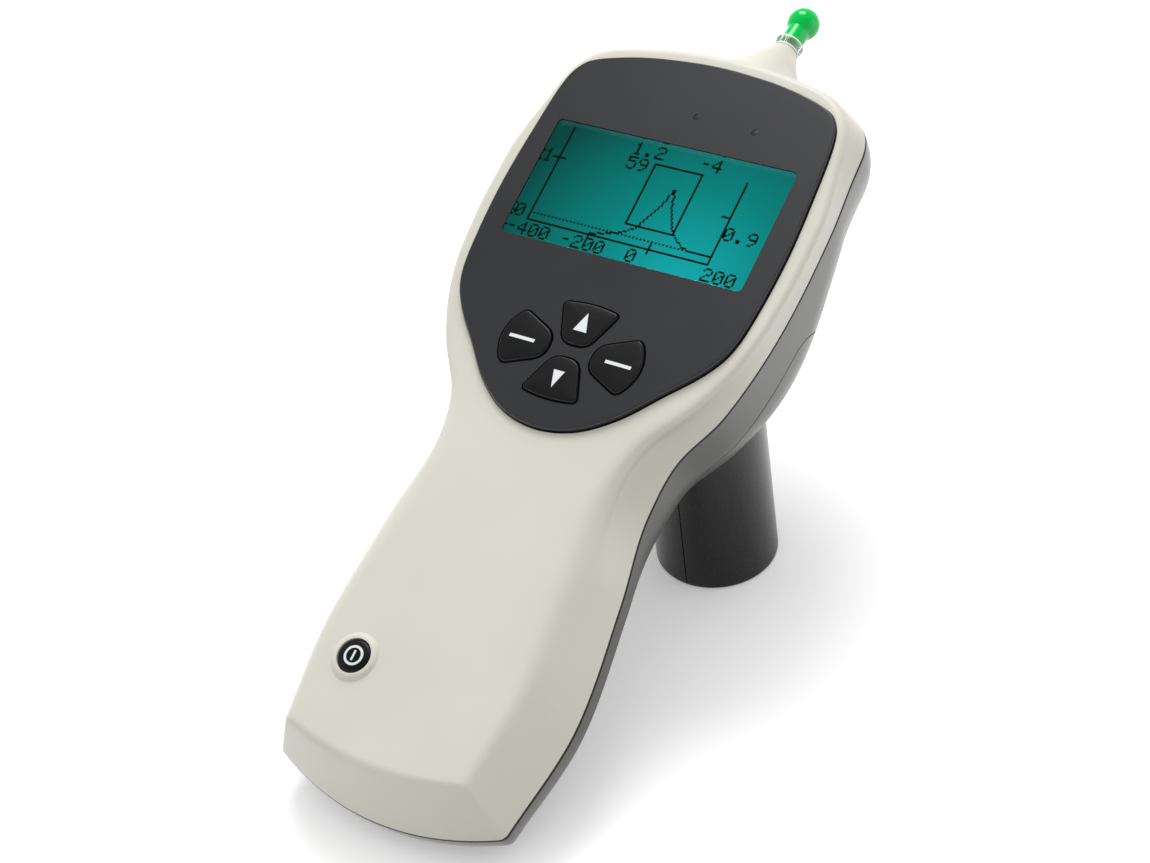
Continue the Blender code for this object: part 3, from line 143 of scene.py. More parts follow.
def half_outline(shares, tail_end, tail_rise, tail_round, head_end):
    """Right half of an outline of the housing: bowed tail, corner, flank, corner, bowed head."""
    low_end = tail_end + tail_rise
    high_end = HEAD_END - HEAD_CORNER_DROP
    flank = [(x * HEAD_HALF_WIDTH, low_end + y * (high_end - low_end)) for x, y in shares]
    tail_corner = Vector(flank[0])
    head_corner = Vector(flank[-1])

    def bowed(corner, end, share):
        return Vector((corner.x * share, end + (corner.y - end) * share ** 2))

    def side(y):
        return Vector((smooth_value(flank, y), y))

    tail_turn = 1 - tail_round / tail_corner.x
    head_turn = 1 - HEAD_CORNER_ROUND / head_corner.x
    low = tail_corner.y + tail_round
    high = head_corner.y - HEAD_CORNER_ROUND
    points = [bowed(tail_corner, tail_end, tail_turn * i / TAIL_STATIONS) for i in range(TAIL_STATIONS)]
    points += rounded(bowed(tail_corner, tail_end, tail_turn), tail_corner, side(low),
                      TAIL_CORNER_STATIONS)
    points += [side(low + (high - low) * i / FLANK_STATIONS) for i in range(1, FLANK_STATIONS)]
    points += rounded(side(high), head_corner, bowed(head_corner, head_end, head_turn), HEAD_CORNER_STATIONS)
    points += [bowed(head_corner, head_end, head_turn * i / HEAD_STATIONS)
               for i in range(HEAD_STATIONS - 1, -1, -1)]
    return flank, points


ridge_flank, RIDGE = half_outline(
    RIDGE_FLANK_SHARES, RIDGE_TAIL_END, RIDGE_TAIL_RISE, RIDGE_TAIL_ROUND, HEAD_END - RIDGE_HEAD_SETBACK)
PARTING = half_outline(PARTING_FLANK_SHARES, TAIL_END, TAIL_CORNER_RISE, TAIL_CORNER_ROUND, HEAD_END)[1]


def parting_height(y):
    """Height of the straight parting line at y."""
    return PARTING_TAIL_Z + (PARTING_HEAD_Z - PARTING_TAIL_Z) * (y - TAIL_END) / (HEAD_END - TAIL_END)


def top_height(x, y):
    """Height of the top face: level on the head, crowned on the handle, falling to the tail."""
    fall = smooth_value(((TOP_TAIL_FALL, RIDGE_TAIL_END), (0, HANDLE_START)), y)
    drop = smooth_value(((CROWN_DROP, HANDLE_END), (0, -HANDLE_END)), y)
    return TOP_Z - fall - drop * min(abs(x) / smooth_value(ridge_flank, y), 1) ** CROWN_POWER


def spine_point(y):
    """Nearest point of the straight middle line that the end stations draw in to."""
    return Vector((0, min(max(y, SPINE_TAIL), SPINE_HEAD)))


def from_spine(point, distance):
    """Point moved straight away from the spine by a distance."""
    return point + (point - spine_point(point.y)).normalized() * distance


def upper_section(ridge, foot, grow):
    """Right half of a section above the parting line, from the middle of the face to the rim."""
    lift = Vector((0, 0, grow))
    ridge = from_spine(ridge, grow)
    foot = from_spine(foot, grow)
    size = smooth_value(
        ((RIDGE_FILLET, SPINE_TAIL), (SHOULDER_FILLET, HANDLE_END), (RIDGE_FILLET, -HANDLE_END)), ridge.y)
    corner = Vector((*ridge, top_height(*ridge))) + lift
    base = Vector((*foot, parting_height(foot.y) + GAP / 2))
    spine = spine_point(ridge.y)
    inward = (spine - ridge).normalized()
    shelf = ridge + inward * size
    on_top = Vector((*shelf, top_height(*shelf))) + lift
    hollow = smooth_value(((0, HANDLE_START), (SHOULDER_HOLLOW, HANDLE_END), (0, -HANDLE_END)), foot.y)
    fall = (base - corner).normalized()
    low = base - fall * RIM * 2
    pull = corner.lerp(low, 0.5) + Vector((*inward, 0)) * hollow * 2
    high = corner + (pull - corner).normalized() * size
    section = []
    for i in range(TOP_ROWS):
        flat = spine.lerp(shelf, i / TOP_ROWS)
        section.append(Vector((*flat, top_height(*flat))) + lift)
    section += rounded(on_top, corner, high, FILLET_ROWS)
    section += rounded(high, pull, low, FLANK_ROWS)[1:]
    section.append(base - fall * RIM)
    section.append(Vector((*from_spine(foot, -RIM), base.z)))
    return section


def lofted(sections):
    """Mesh lofted through half sections, with the left half mirrored on."""
    bm = bmesh.new()
    grid = [[bm.verts.new(point) for point in section] for section in sections]
    for tailward, headward in zip(grid, grid[1:]):
        for i in range(len(tailward) - 1):
            bm.faces.new((tailward[i], tailward[i + 1], headward[i + 1], headward[i]))
    bmesh.ops.remove_doubles(bm, verts=bm.verts, dist=MERGE)
    bmesh.ops.mirror(bm, geom=bm.verts[:] + bm.edges[:] + bm.faces[:], axis="X", merge_dist=MERGE)
    bmesh.ops.remove_doubles(bm, verts=bm.verts, dist=MERGE)
    bmesh.ops.recalc_face_normals(bm, faces=bm.faces)
    return bm


def solid(bm, place, name="tool"):
    """Object of a finished mesh, placed in the frame."""
    mesh = bpy.data.meshes.new(name)
    bm.to_mesh(mesh)
    bm.free()
    mesh.transform(place)
    thing = bpy.data.objects.new(name, mesh)
    bpy.context.scene.collection.objects.link(thing)
    return thing


def settle(thing):
    """Make a piece's modifiers part of its mesh."""
    bpy.context.view_layer.update()
    mesh = bpy.data.meshes.new_from_object(thing.evaluated_get(bpy.context.evaluated_depsgraph_get()))
    thing.modifiers.clear()
    thing.data = mesh
    return thing


def carve(thing, tool, operation="DIFFERENCE"):
    """Cut, trim or join a piece with a tool solid, which is then thrown away."""
    step = thing.modifiers.new("carve", "BOOLEAN")
    step.operation = operation
    step.object = tool
    step.solver = "EXACT"
    settle(thing)
    bpy.data.objects.remove(tool)
    return thing


def dress(thing, look, body, *nodes, slot=None, sharp=SHARP_EDGE):
    """Finish a piece: its material, soft shading but for sharp edges, its body and nodes. The slot argument
    is not used.
    """
    thing.data.materials.clear()
    thing.data.materials.append(look)
    thing.data.shade_smooth()
    thing.data.set_sharp_from_angle(angle=sharp)
    level = thing.modifiers.new("level", "WEIGHTED_NORMAL")
    level.keep_sharp = True
    settle(thing)
    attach(thing, body)
    if nodes:
        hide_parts(*nodes)
    return thing


def ringed(rings):
    """Closed mesh through rings that have as many points each, capped at both ends."""
    bm = bmesh.new()
    loops = [[bm.verts.new(point) for point in ring] for ring in rings]
    for low, high in zip(loops, loops[1:]):
        for i in range(len(low)):
            j = (i + 1) % len(low)
            bm.faces.new((low[i], low[j], high[j], high[i]))
    bm.faces.new(loops[0])
    bm.faces.new(loops[-1])
    bmesh.ops.recalc_face_normals(bm, faces=bm.faces)
    return bm


def slab(outline, low, high):
    """Closed mesh of a flat outline between two heights."""
    return ringed([[(x, y, z) for x, y in outline] for z in (low, high)])


def turned(profile, steps=96, loop=False):
    """Closed mesh of a profile of (radius, height) points, spun about z."""
    bm = bmesh.new()
    verts = [bm.verts.new((radius, 0, height)) for radius, height in profile]
    edges = [bm.edges.new(pair) for pair in zip(verts, verts[1:])]
    if loop:
        edges.append(bm.edges.new((verts[-1], verts[0])))
    bmesh.ops.spin(bm, geom=verts + edges, angle=math.tau, steps=steps, axis=(0, 0, 1), cent=(0, 0, 0),
                   use_merge=True)
    bmesh.ops.remove_doubles(bm, verts=bm.verts, dist=MERGE)
    bmesh.ops.recalc_face_normals(bm, faces=bm.faces)
    return bm


def softened(profile, size, steps=4):
    """Profile with each inner corner rounded off by a size, or by less where its sides are short."""
    points = [Vector(profile[0])]
    for before, corner, after in zip(profile, profile[1:], profile[2:]):
        corner = Vector(corner)
        towards = Vector(before) - corner
        away = Vector(after) - corner
        start = corner + towards.normalized() * min(size, towards.length * SIDE_SHARE)
        end = corner + away.normalized() * min(size, away.length * SIDE_SHARE)
        points += rounded(start, corner, end, steps)
    points.append(Vector(profile[-1]))
    return points


def grown(points, distance):
    """Closed anticlockwise outline moved out by a distance."""
    moved = []
    count = len(points)
    for i, point in enumerate(points):
        along = (Vector(points[(i + 1) % count]) - Vector(points[i - 1])).normalized()
        moved.append(Vector(point) + Vector((along.y, -along.x)) * distance)
    return moved


def mirrored(half):
    """Whole outline from a right half that runs from its bottom to its top."""
    return [Vector(p) for p in half] + [Vector((-p[0], p[1])) for p in reversed(half) if p[0] > MERGE]


def through(points, steps):
    """Smooth open curve through the points, with steps spans between each two."""
    made = []
    for i in range(len(points) - 1):
        here = Vector(points[i])
        there = Vector(points[i + 1])
        before = Vector(points[i - 1]) if i else Vector((-there.x, there.y))
        last = i + 2 == len(points)
        beyond = Vector((-here.x, here.y)) if last else Vector(points[i + 2])
        for k in range(steps):
            t = k / steps
            pull = (here * 2 + (there - before) * t + (before * 2 - here * 5 + there * 4 - beyond) * t ** 2
                    + (here * 3 - before - there * 3 + beyond) * t ** 3)
            made.append(pull / 2)
    made.append(Vector(points[-1]))
    return made


def circle(centre, radius, steps=48):
    """Round outline."""
    angles = [math.tau * i / steps for i in range(steps)]
    return [Vector((centre[0] + radius * math.cos(a), centre[1] + radius * math.sin(a))) for a in angles]


def oblong(left, right, low, high):
    """Outline of a rectangle with square corners."""
    return [(left, low), (right, low), (right, high), (left, high)]


def rod(radius, high, low):
    """Profile of a plain cylinder between two heights."""
    return [(0, high), (radius, high), (radius, low), (0, low)]


def rectangle(half_width, low, high, corner):
    """Upright rectangle with rounded corners."""
    corners = [Vector(p) for p in oblong(-half_width, half_width, low, high)]
    points = []
    for i, here in enumerate(corners):
        before = (corners[i - 1] - here).normalized() * corner
        after = (corners[(i + 1) % 4] - here).normalized() * corner
        points += rounded(here + before, here, here + after, RECTANGLE_CORNER_STEPS)
    return points


def linear(code):
    """Linear colour of an sRGB hex value."""
    shares = [int(code[i:i + 2], 16) / 255 for i in (1, 3, 5)]
    return (*[s / 12.92 if s <= 0.04045 else ((s + 0.055) / 1.055) ** 2.4 for s in shares], 1.0)


def add_node(tree, kind, inputs=None, **settings):
    """Add a node with its settings, and give its inputs a value or a link from another node's output."""
    node = tree.nodes.new(kind)
    for name, setting in settings.items():
        setattr(node, name, setting)
    for name, value in (inputs or {}).items():
        if isinstance(value, bpy.types.NodeSocket):
            tree.links.new(value, node.inputs[name])
        else:
            node.inputs[name].default_value = value
    return node


FLOW_SIZE = 0.03
NOISE_SPAN = (0.3, 0.7)
SHEEN_SPREAD = 0.04
GRAIN_STRENGTH = 0.6
STYRENE_IOR = 1.52
ERODED_GRAIN = 0.0004
ERODED_RELIEF = 0.00002
FINE_RELIEF = ERODED_RELIEF / 3


def new_look(name):
    """Material with its node tree, its shader and the place on the piece."""
    look = bpy.data.materials.new(name)
    look.use_nodes = True
    tree = look.node_tree
    return look, tree, tree.nodes["Principled BSDF"], add_node(tree, "ShaderNodeTexCoord").outputs["Object"]


def moulded_plastic(name, tone, shade, roughness, relief=ERODED_RELIEF, grain=ERODED_GRAIN):
    """Injection-moulded plastic with a spark-eroded grain.

    The grain breaks up highlights into a satin sheen, and the tone drifts a little over centimetres.
    """
    look, tree, shader, place = new_look(name)
    drift = add_node(tree, "ShaderNodeTexNoise", {"Vector": place, "Scale": 1 / FLOW_SIZE, "Detail": 2.0})
    tones = add_node(tree, "ShaderNodeValToRGB", {"Fac": drift.outputs["Fac"]})
    for element, position, code in zip(tones.color_ramp.elements, NOISE_SPAN, (shade, tone)):
        element.position = position
        element.color = linear(code)
    pits = add_node(tree, "ShaderNodeTexNoise", {"Vector": place, "Scale": 1 / grain, "Detail": 3.0})
    sheen = add_node(tree, "ShaderNodeMapRange", {
        "Value": pits.outputs["Fac"], "From Min": NOISE_SPAN[0], "From Max": NOISE_SPAN[1],
        "To Min": roughness - SHEEN_SPREAD, "To Max": roughness + SHEEN_SPREAD})
    bump = add_node(tree, "ShaderNodeBump", {
        "Height": pits.outputs["Fac"], "Distance": relief, "Strength": GRAIN_STRENGTH})
    tree.links.new(tones.outputs["Color"], shader.inputs["Base Color"])
    tree.links.new(sheen.outputs["Result"], shader.inputs["Roughness"])
    tree.links.new(bump.outputs["Normal"], shader.inputs["Normal"])
    shader.inputs["IOR"].default_value = STYRENE_IOR
    return look


cream_abs = moulded_plastic("moulded_cream_abs", "#D9D7CB", "#D4D1C5", roughness=0.42)

sections = []
for ridge, foot in zip(RIDGE, PARTING):
    outer = upper_section(ridge, foot, 0)
    inner = upper_section(ridge, foot, -WALL)
    sections.append(outer + inner[::-1])
top_shell = solid(lofted(sections), BODY, "cream_top_shell")

PANEL_HALF_WIDTH = 0.0373
PANEL_TOP = 0.0775
PANEL_BOTTOM = -0.019
PANEL_OUTLINE_SHARES = (
    (0.0, 0.0), (0.250, 0.020), (0.470, 0.078), (0.660, 0.158), (0.845, 0.238), (0.945, 0.312),
    (0.985, 0.420), (1.0, 0.570), (0.980, 0.730), (0.948, 0.865), (0.890, 0.925), (0.780, 0.955),
    (0.520, 0.982), (0.260, 0.995), (0.0, 1.0))
PANEL_STEPS = 10
panel_half = [(x * PANEL_HALF_WIDTH, PANEL_BOTTOM + y * (PANEL_TOP - PANEL_BOTTOM))
              for x, y in PANEL_OUTLINE_SHARES]
PANEL_OUTLINE = mirrored(through(panel_half, PANEL_STEPS))
carve(top_shell, solid(slab(grown(PANEL_OUTLINE, GAP), -PANEL_THICKNESS - GAP, OVERRUN), BODY))

BOARD_Z = -0.009
OPENING_MARGIN = 0.0022
display_opening = rectangle(DISPLAY_HALF_WIDTH + OPENING_MARGIN, DISPLAY_LOW - OPENING_MARGIN,
                            DISPLAY_HIGH + OPENING_MARGIN, OPENING_MARGIN)
carve(top_shell, solid(slab(display_opening, BOARD_Z, OVERRUN), BODY))
KEY_OPENING = (0.0198, 0.014)
key_opening = [(x * KEY_OPENING[0], y * KEY_OPENING[1]) for x, y in circle((0, 0), 1.0)]
carve(top_shell, solid(slab(key_opening, BOARD_Z, OVERRUN), BODY))

POWER_PLACE = (-0.0141, -0.0799)
POWER_RADIUS = 0.0039
POWER_GAP = 0.0001
COLLAR_RADIUS = 0.0056
COLLAR_RISE = 0.0009
COLLAR_ROOT = 0.0018
COLLAR_FLARE = 0.0007
COLLAR_SOFTNESS = 0.0005
power_top = top_height(*POWER_PLACE)
POWER = BODY @ Matrix.Translation((*POWER_PLACE, power_top))
collar = softened([
    (0, COLLAR_RISE), (COLLAR_RADIUS - COLLAR_RISE, COLLAR_RISE), (COLLAR_RADIUS, 0),
    (COLLAR_RADIUS + COLLAR_FLARE, -COLLAR_FLARE), (COLLAR_RADIUS, -COLLAR_ROOT), (0, -COLLAR_ROOT)],
    COLLAR_SOFTNESS)
carve(top_shell, solid(turned(collar), POWER), "UNION")
carve(top_shell, solid(turned(rod(POWER_RADIUS + POWER_GAP, OVERRUN, -OVERRUN)), POWER))

NOSE_Y = 0.080
NOSE_Z = -0.0215
NOSE_DIP = math.radians(12.0)
nose_turn = Matrix.Rotation(-math.radians(90.0) - NOSE_DIP, 4, "X")
NOSE = BODY @ Matrix.Translation((0, NOSE_Y, NOSE_Z)) @ nose_turn
NECK_RADIUS = 0.006
NECK_LENGTH = 0.006
BLOCK_FRONT = 0.007
nose_hole = rod(NECK_RADIUS + GAP, NECK_LENGTH, -BLOCK_FRONT - OVERRUN)
carve(top_shell, solid(turned(nose_hole), NOSE))
dress(top_shell, cream_abs, "housing", "top_shell", slot="cream_abs")

# Bottom shell
# The dark half is moulded in the same way, in grey ABS. It meets the cream half at a straight
# parting line, and its belly is open under the head, where the battery housing closes it.
BELLY_Z = -0.0397
HANDLE_BELLY_Z = -0.0306
TAIL_BELLY_Z = -0.0272
HEAD_CORNER = 0.0284
FLANK_CORNER = 0.0152
BELLY_CORNER = 0.0226
HANDLE_CORNER = 0.0157
TAIL_CORNER = 0.0086
CORNER_ROWS = 14
BELLY_ROWS = 4


def belly_height(y):
    """Height of the underside along the middle: deep under the head, shallow under the handle."""
    line = ((TAIL_BELLY_Z, RIDGE_TAIL_END), (HANDLE_BELLY_Z, (HANDLE_START + SPINE_TAIL) / 2),
            (HANDLE_BELLY_Z, HANDLE_START), (BELLY_Z, HANDLE_END), (BELLY_Z, SPINE_HEAD))
    return smooth_value(line, y)


def lower_section(foot, grow):
    """Right half of a section below the parting line, from the rim round to the middle of the belly."""
    foot = from_spine(foot, grow)
    top = parting_height(foot.y) - GAP / 2
    spine = spine_point(foot.y)
    to_spine = (spine - foot).normalized()
    radius = smooth_value((
        (TAIL_CORNER, TAIL_END), (HANDLE_CORNER, SPINE_TAIL), (HANDLE_CORNER, HANDLE_START),
        (BELLY_CORNER, HANDLE_END), (FLANK_CORNER, -HANDLE_END), (HEAD_CORNER, SPINE_HEAD)), foot.y)
    floor = belly_height((foot + to_spine * radius).y) - grow
    radius = min(radius, parting_height(foot.y) - floor - RIM * 4)
    section = [
        Vector((*from_spine(foot, -RIM), top)), Vector((*foot, top - RIM)), Vector((*foot, top - RIM * 2))]
    for i in range(CORNER_ROWS + 1):
        angle = math.radians(90.0) * i / CORNER_ROWS
        flat = foot + to_spine * radius * (1 - math.cos(angle))
        section.append(Vector((*flat, floor + radius * (1 - math.sin(angle)))))
    for i in range(1, BELLY_ROWS + 1):
        flat = (foot + to_spine * radius).lerp(spine, i / BELLY_ROWS)
        section.append(Vector((*flat, belly_height(flat.y) - grow)))
    return section


def lower_wall():
    """Wall of the housing below the parting line, left open along its rim, inside the parting gap."""
    return lofted([lower_section(foot, 0) + lower_section(foot, -WALL)[::-1] for foot in PARTING])


def whole_skin(grow):
    """Closed skin of the whole housing, both halves in one."""
    return lofted([
        upper_section(ridge, foot, grow)[:-1] + lower_section(foot, grow)[1:]
        for ridge, foot in zip(RIDGE, PARTING)])


ARCH_TAIL_Y = -0.012
ARCH_HEAD_Y = 0.0405
ARCH_TAIL_Z = -0.0255
ARCH_HEAD_Z = -0.0215
ARCH_HEAD_TOP_Y = 0.028
ARCH_ROUND = 0.0055
ARCH_STEPS = 16


def arch_prism(margin):
    """Prism right through the belly, with the side view of the battery housing's seam as (y, z)."""
    low = BELLY_Z - BELLY_CORNER
    corners = [Vector(p) for p in (
        (ARCH_HEAD_Y, low), (ARCH_HEAD_Y, BELLY_Z), (ARCH_HEAD_TOP_Y, ARCH_HEAD_Z),
        (ARCH_TAIL_Y, ARCH_TAIL_Z), (ARCH_TAIL_Y, low))]
    points = [corners[0]]
    for before, corner, after in zip(corners, corners[1:], corners[2:]):
        start = corner + (before - corner).normalized() * ARCH_ROUND
        end = corner + (after - corner).normalized() * ARCH_ROUND
        points += rounded(start, corner, end, ARCH_STEPS)
    points.append(corners[-1])
    outline = grown(points, margin)
    reach = HEAD_HALF_WIDTH + OVERRUN
    return ringed([[(x, y, z) for y, z in outline] for x in (-reach, reach)])


SCREW_PLACES = ((0.0315, 0.0625), (0.0195, -0.0905))
SCREW_HEAD_RADIUS = 0.0024
SCREW_LAND = 0.003
SCREW_SIDES = 48
POD_WALL = 0.0014
CELL_RADIUS = 0.00525
CELL_SPREAD = CELL_RADIUS + GAP / 2
BUNDLE_CLEARANCE = 0.0002
POD_RADIUS = CELL_SPREAD * math.sqrt(2) + CELL_RADIUS + BUNDLE_CLEARANCE + POD_WALL
POD_HEIGHT = 0.052
cell_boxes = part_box("cell_1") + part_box("cell_4")
pod_middle = sum(cell_boxes, Vector()) / len(cell_boxes)
POD = Matrix.Translation((pod_middle.x, pod_middle.y, 0))

grey_abs = moulded_plastic("moulded_grey_abs", "#747472", "#6D6D6B", roughness=0.34, relief=FINE_RELIEF)
# A near-black copy of the grey plastic: the pod's darker plastic with painted shade, and painted shade in the
# parting gap.
dark_abs_and_painted_shade = moulded_plastic("moulded_dark_abs_and_painted_shade", "#303130", "#2C2D2C", roughness=0.3, relief=0.0)
bottom_shell = solid(lower_wall(), BODY, "grey_bottom_shell")
carve(bottom_shell, solid(arch_prism(GAP / 2), BODY))
carve(bottom_shell, solid(turned(rod(POD_RADIUS + GAP, POD_HEIGHT, -OVERRUN)), POD))
carve(bottom_shell, solid(turned(nose_hole), NOSE))
for x, y in SCREW_PLACES:
    for side in (-1, 1):
        land = parting_height(y) - SCREW_LAND
        low = BELLY_Z - OVERRUN
        spot = BODY @ Matrix.Translation((side * x, y, 0))
        post = turned(rod(SCREW_HEAD_RADIUS + WALL / 2, land + SCREW_LAND / 2, low), SCREW_SIDES)
        post = carve(solid(post, spot), solid(whole_skin(0), BODY), "INTERSECT")
        carve(bottom_shell, post, "UNION")
        carve(bottom_shell, solid(turned(rod(SCREW_HEAD_RADIUS + GAP, land, low), SCREW_SIDES), spot))
dress(bottom_shell, grey_abs, "housing", "bottom_shell", slot="grey_abs")
to_body = BODY.inverted()


def paint(thing, look, chosen):
    """Give the faces that a test picks a second material."""
    thing.data.materials.append(look)
    for face in thing.data.polygons:
        if chosen(face):
            face.material_index = 1


def rim_in_painted_gap_shade(face):
    """Whether a face lies on the rim that faces the parting line, painted black as shade in the gap."""
    spot = to_body @ face.center
    return spot.z > parting_height(spot.y) - GAP / 2 - RIM


# The rim faces inside the parting gap take the near-black plastic: painted shade that draws the parting line
# dark.
paint(bottom_shell, dark_abs_and_painted_shade, rim_in_painted_gap_shade)

# Battery housing
# The belly cover is a separate grey moulding, parted from the bottom shell by an arch-shaped seam. The fixed
# half of the round pod is moulded to it and stands on the table as a foot. It is drawn near-black: partly a
# darker plastic, partly painted shade from under the head.
POD_EDGE = 0.0007
POD_DRAFT = 0.0006
POD_FLOOR = 0.0016
POD_CAP = 0.0014
CONTACT_THICKNESS = 0.0005
SPRING_HEIGHT = 0.0026
CELL_LENGTH = 0.0445
COVER_REBATE = 0.0001
POD_SIDES = 128
POD_EDGE_STEPS = 6
UPRIGHT = 0.5
LEVEL = 0.99
CELL_TOP = POD_FLOOR + GAP * 4 + CONTACT_THICKNESS + CELL_LENGTH + SPRING_HEIGHT


def cover_space(side, height):
    """Space of the pod's lift-off half: left of the seam and below the belly."""
    wide = POD_RADIUS + OVERRUN
    space = solid(turned(rod(wide, CELL_LENGTH, -OVERRUN)), POD)
    carve(space, solid(slab(oblong(side, wide * 2, -wide * 2, wide * 2), -wide, CELL_LENGTH * 2), POD))
    above = oblong(-wide * 4, wide * 4, -wide * 4, wide * 4)
    carve(space, solid(slab(above, BELLY_Z + height, CELL_LENGTH), BODY))
    return space


def pod_profile(top):
    """Outer profile of the pod: a tube that narrows upwards, with a small rounding at its foot."""
    foot = rounded(
        (POD_RADIUS, POD_EDGE * 2), (POD_RADIUS, 0), (POD_RADIUS - POD_EDGE * 2, 0), POD_EDGE_STEPS)
    return [(0, top), (POD_RADIUS - POD_DRAFT, top), *foot, (0, 0)]


battery_housing = solid(lower_wall(), BODY, "grey_battery_housing")
carve(battery_housing, solid(arch_prism(-GAP / 2), BODY), "INTERSECT")
carve(battery_housing, solid(turned(pod_profile(CELL_TOP + POD_CAP), POD_SIDES), POD), "UNION")
carve(battery_housing, solid(turned(rod(POD_RADIUS - POD_WALL, CELL_TOP, POD_FLOOR)), POD))
carve(battery_housing, cover_space(GAP / 2, COVER_REBATE))
dress(battery_housing, grey_abs, "housing", "battery_housing", slot="grey_abs")
to_pod = POD.inverted()


def on_pod(face):
    """Whether a face belongs to the pod, whose walls are upright and whose ends are level."""
    flatness = abs(face.normal.z)
    turned_so = flatness < UPRIGHT or flatness > LEVEL or face.center.z < WALL
    return turned_so and (to_pod @ face.center).xy.length < POD_RADIUS + GAP / 2


# The pod's faces take the near-black plastic: partly its own darker colour, partly painted shade under the
# head.
paint(battery_housing, dark_abs_and_painted_shade, on_pod)

# Battery cover
# The other half of the pod lifts off to the side and opens the battery space. It is parted from
# the fixed half by a straight seam that runs up the front of the pod.
battery_cover = solid(turned(pod_profile(CELL_LENGTH), POD_SIDES), POD, "grey_battery_cover")
carve(battery_cover, solid(turned(rod(POD_RADIUS - POD_WALL, CELL_LENGTH + OVERRUN, POD_FLOOR)), POD))
carve(battery_cover, cover_space(-GAP / 2, -GAP), "INTERSECT")
# The cover is drawn near-black like the fixed half: partly a darker plastic, partly painted shade.
dress(battery_cover, dark_abs_and_painted_shade, "cover", "battery_cover", slot="grey_abs")

# Cells
# Four AAA cells stand in a square bundle, each turned over beside the next. A cell is a drawn
# steel can in a shrunk printed sleeve, left plain here, with a pressed cap at its positive end.
CELL_CAP_RADIUS = 0.0019
CELL_CAP_HEIGHT = 0.0008
CELL_SHOULDER = 0.0004
SLEEVE_MARGIN = 0.0006
SLEEVE_BAND_SHARE = 0.72
SLEEVE_SHEEN = (0.18, 0.4)
SCUFF_SIZE = 0.004
CELL_SIDES = 48
ROLLING_GRAIN = 0.0008


def printed_sleeve():
    """Shrunk plastic sleeve over a can: glossy ink in two plain tones, with bare metal at the ends."""
    look, tree, shader, place = new_look("shrunk_cell_sleeve")
    height = add_node(tree, "ShaderNodeSeparateXYZ", {"Vector": place}).outputs["Z"]
    bands = add_node(tree, "ShaderNodeMapRange", {
        "Value": height, "From Min": POD_FLOOR, "From Max": POD_FLOOR + CELL_LENGTH})
    inks = add_node(tree, "ShaderNodeValToRGB", {"Fac": bands.outputs["Result"]})
    inks.color_ramp.interpolation = "CONSTANT"
    inks.color_ramp.elements[0].color = linear("#2E3136")
    inks.color_ramp.elements[1].position = SLEEVE_BAND_SHARE
    inks.color_ramp.elements[1].color = linear("#9A6A3C")
    scuffs = add_node(tree, "ShaderNodeTexNoise", {"Vector": place, "Scale": 1 / SCUFF_SIZE, "Detail": 4.0})
    sheen = add_node(tree, "ShaderNodeMapRange", {
        "Value": scuffs.outputs["Fac"], "To Min": SLEEVE_SHEEN[0], "To Max": SLEEVE_SHEEN[1]})
    tree.links.new(inks.outputs["Color"], shader.inputs["Base Color"])
    tree.links.new(sheen.outputs["Result"], shader.inputs["Roughness"])
    return look


def plated_metal(name, tone, roughness):
    """Plated sheet or wire: a bright metal whose fine rolling marks spread its highlights."""
    look, tree, shader, place = new_look(name)
    shader.inputs["Base Color"].default_value = linear(tone)
    shader.inputs["Metallic"].default_value = 1.0
    marks = add_node(tree, "ShaderNodeTexNoise", {
        "Vector": place, "Scale": 1 / ROLLING_GRAIN, "Detail": 4.0})
    sheen = add_node(tree, "ShaderNodeMapRange", {
        "Value": marks.outputs["Fac"], "To Min": roughness - SHEEN_SPREAD * 2,
        "To Max": roughness + SHEEN_SPREAD * 2})
    tree.links.new(sheen.outputs["Result"], shader.inputs["Roughness"])
    return look


cell_sleeve = printed_sleeve()
nickel_plate = plated_metal("nickel_plated_steel", "#C9C4B8", roughness=0.26)
bright_steel = plated_metal("zinc_plated_steel", "#BFC2C4", roughness=0.3)
can_top = CELL_LENGTH - CELL_CAP_HEIGHT
cell_profile = [
    (0, CELL_LENGTH), (CELL_CAP_RADIUS, CELL_LENGTH), (CELL_CAP_RADIUS, can_top),
    (CELL_RADIUS - CELL_SHOULDER, can_top), (CELL_RADIUS, can_top - CELL_SHOULDER),
    (CELL_RADIUS, CELL_SHOULDER), (CELL_RADIUS - CELL_SHOULDER, 0), (0, 0)]
for number in range(1, 5):
    low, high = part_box(f"cell_{number}")
    middle = (low + high) / 2
    upright = (middle.x - pod_middle.x) * (middle.y - pod_middle.y) > 0
    turn = Matrix.Identity(4) if upright else Matrix.Rotation(math.pi, 4, "X")
    place = Matrix.Translation(middle) @ turn @ Matrix.Translation((0, 0, -CELL_LENGTH / 2))
    cell = solid(turned(softened(cell_profile, CELL_SHOULDER / 2), CELL_SIDES), place, f"dry_cell_{number}")
    dress(cell, cell_sleeve, "housing", f"cell_{number}", slot="cell_sleeve")

    def bare(face):
        """Whether a face is at an end of the can, clear of its sleeve."""
        away = face.center - middle
        at_end = abs(away.z) > CELL_LENGTH / 2 - SLEEVE_MARGIN - CELL_CAP_HEIGHT
        return at_end and away.xy.length < CELL_RADIUS - SLEEVE_MARGIN

    paint(cell, nickel_plate, bare)

# Screws
# Four pan-head screws with cross recesses join the shells from the back, each at the bottom of its
# well.
SCREW_HEAD_HEIGHT = 0.0018
SCREW_RADIUS = 0.0012
SCREW_REACH = 0.006
RECESS_HALF_WIDTH = 0.0003
RECESS_HALF_LENGTH = 0.0014
RECESS_DEPTH = 0.001
SCREW_TURN = 0.7
SMALL_SIDES = 32


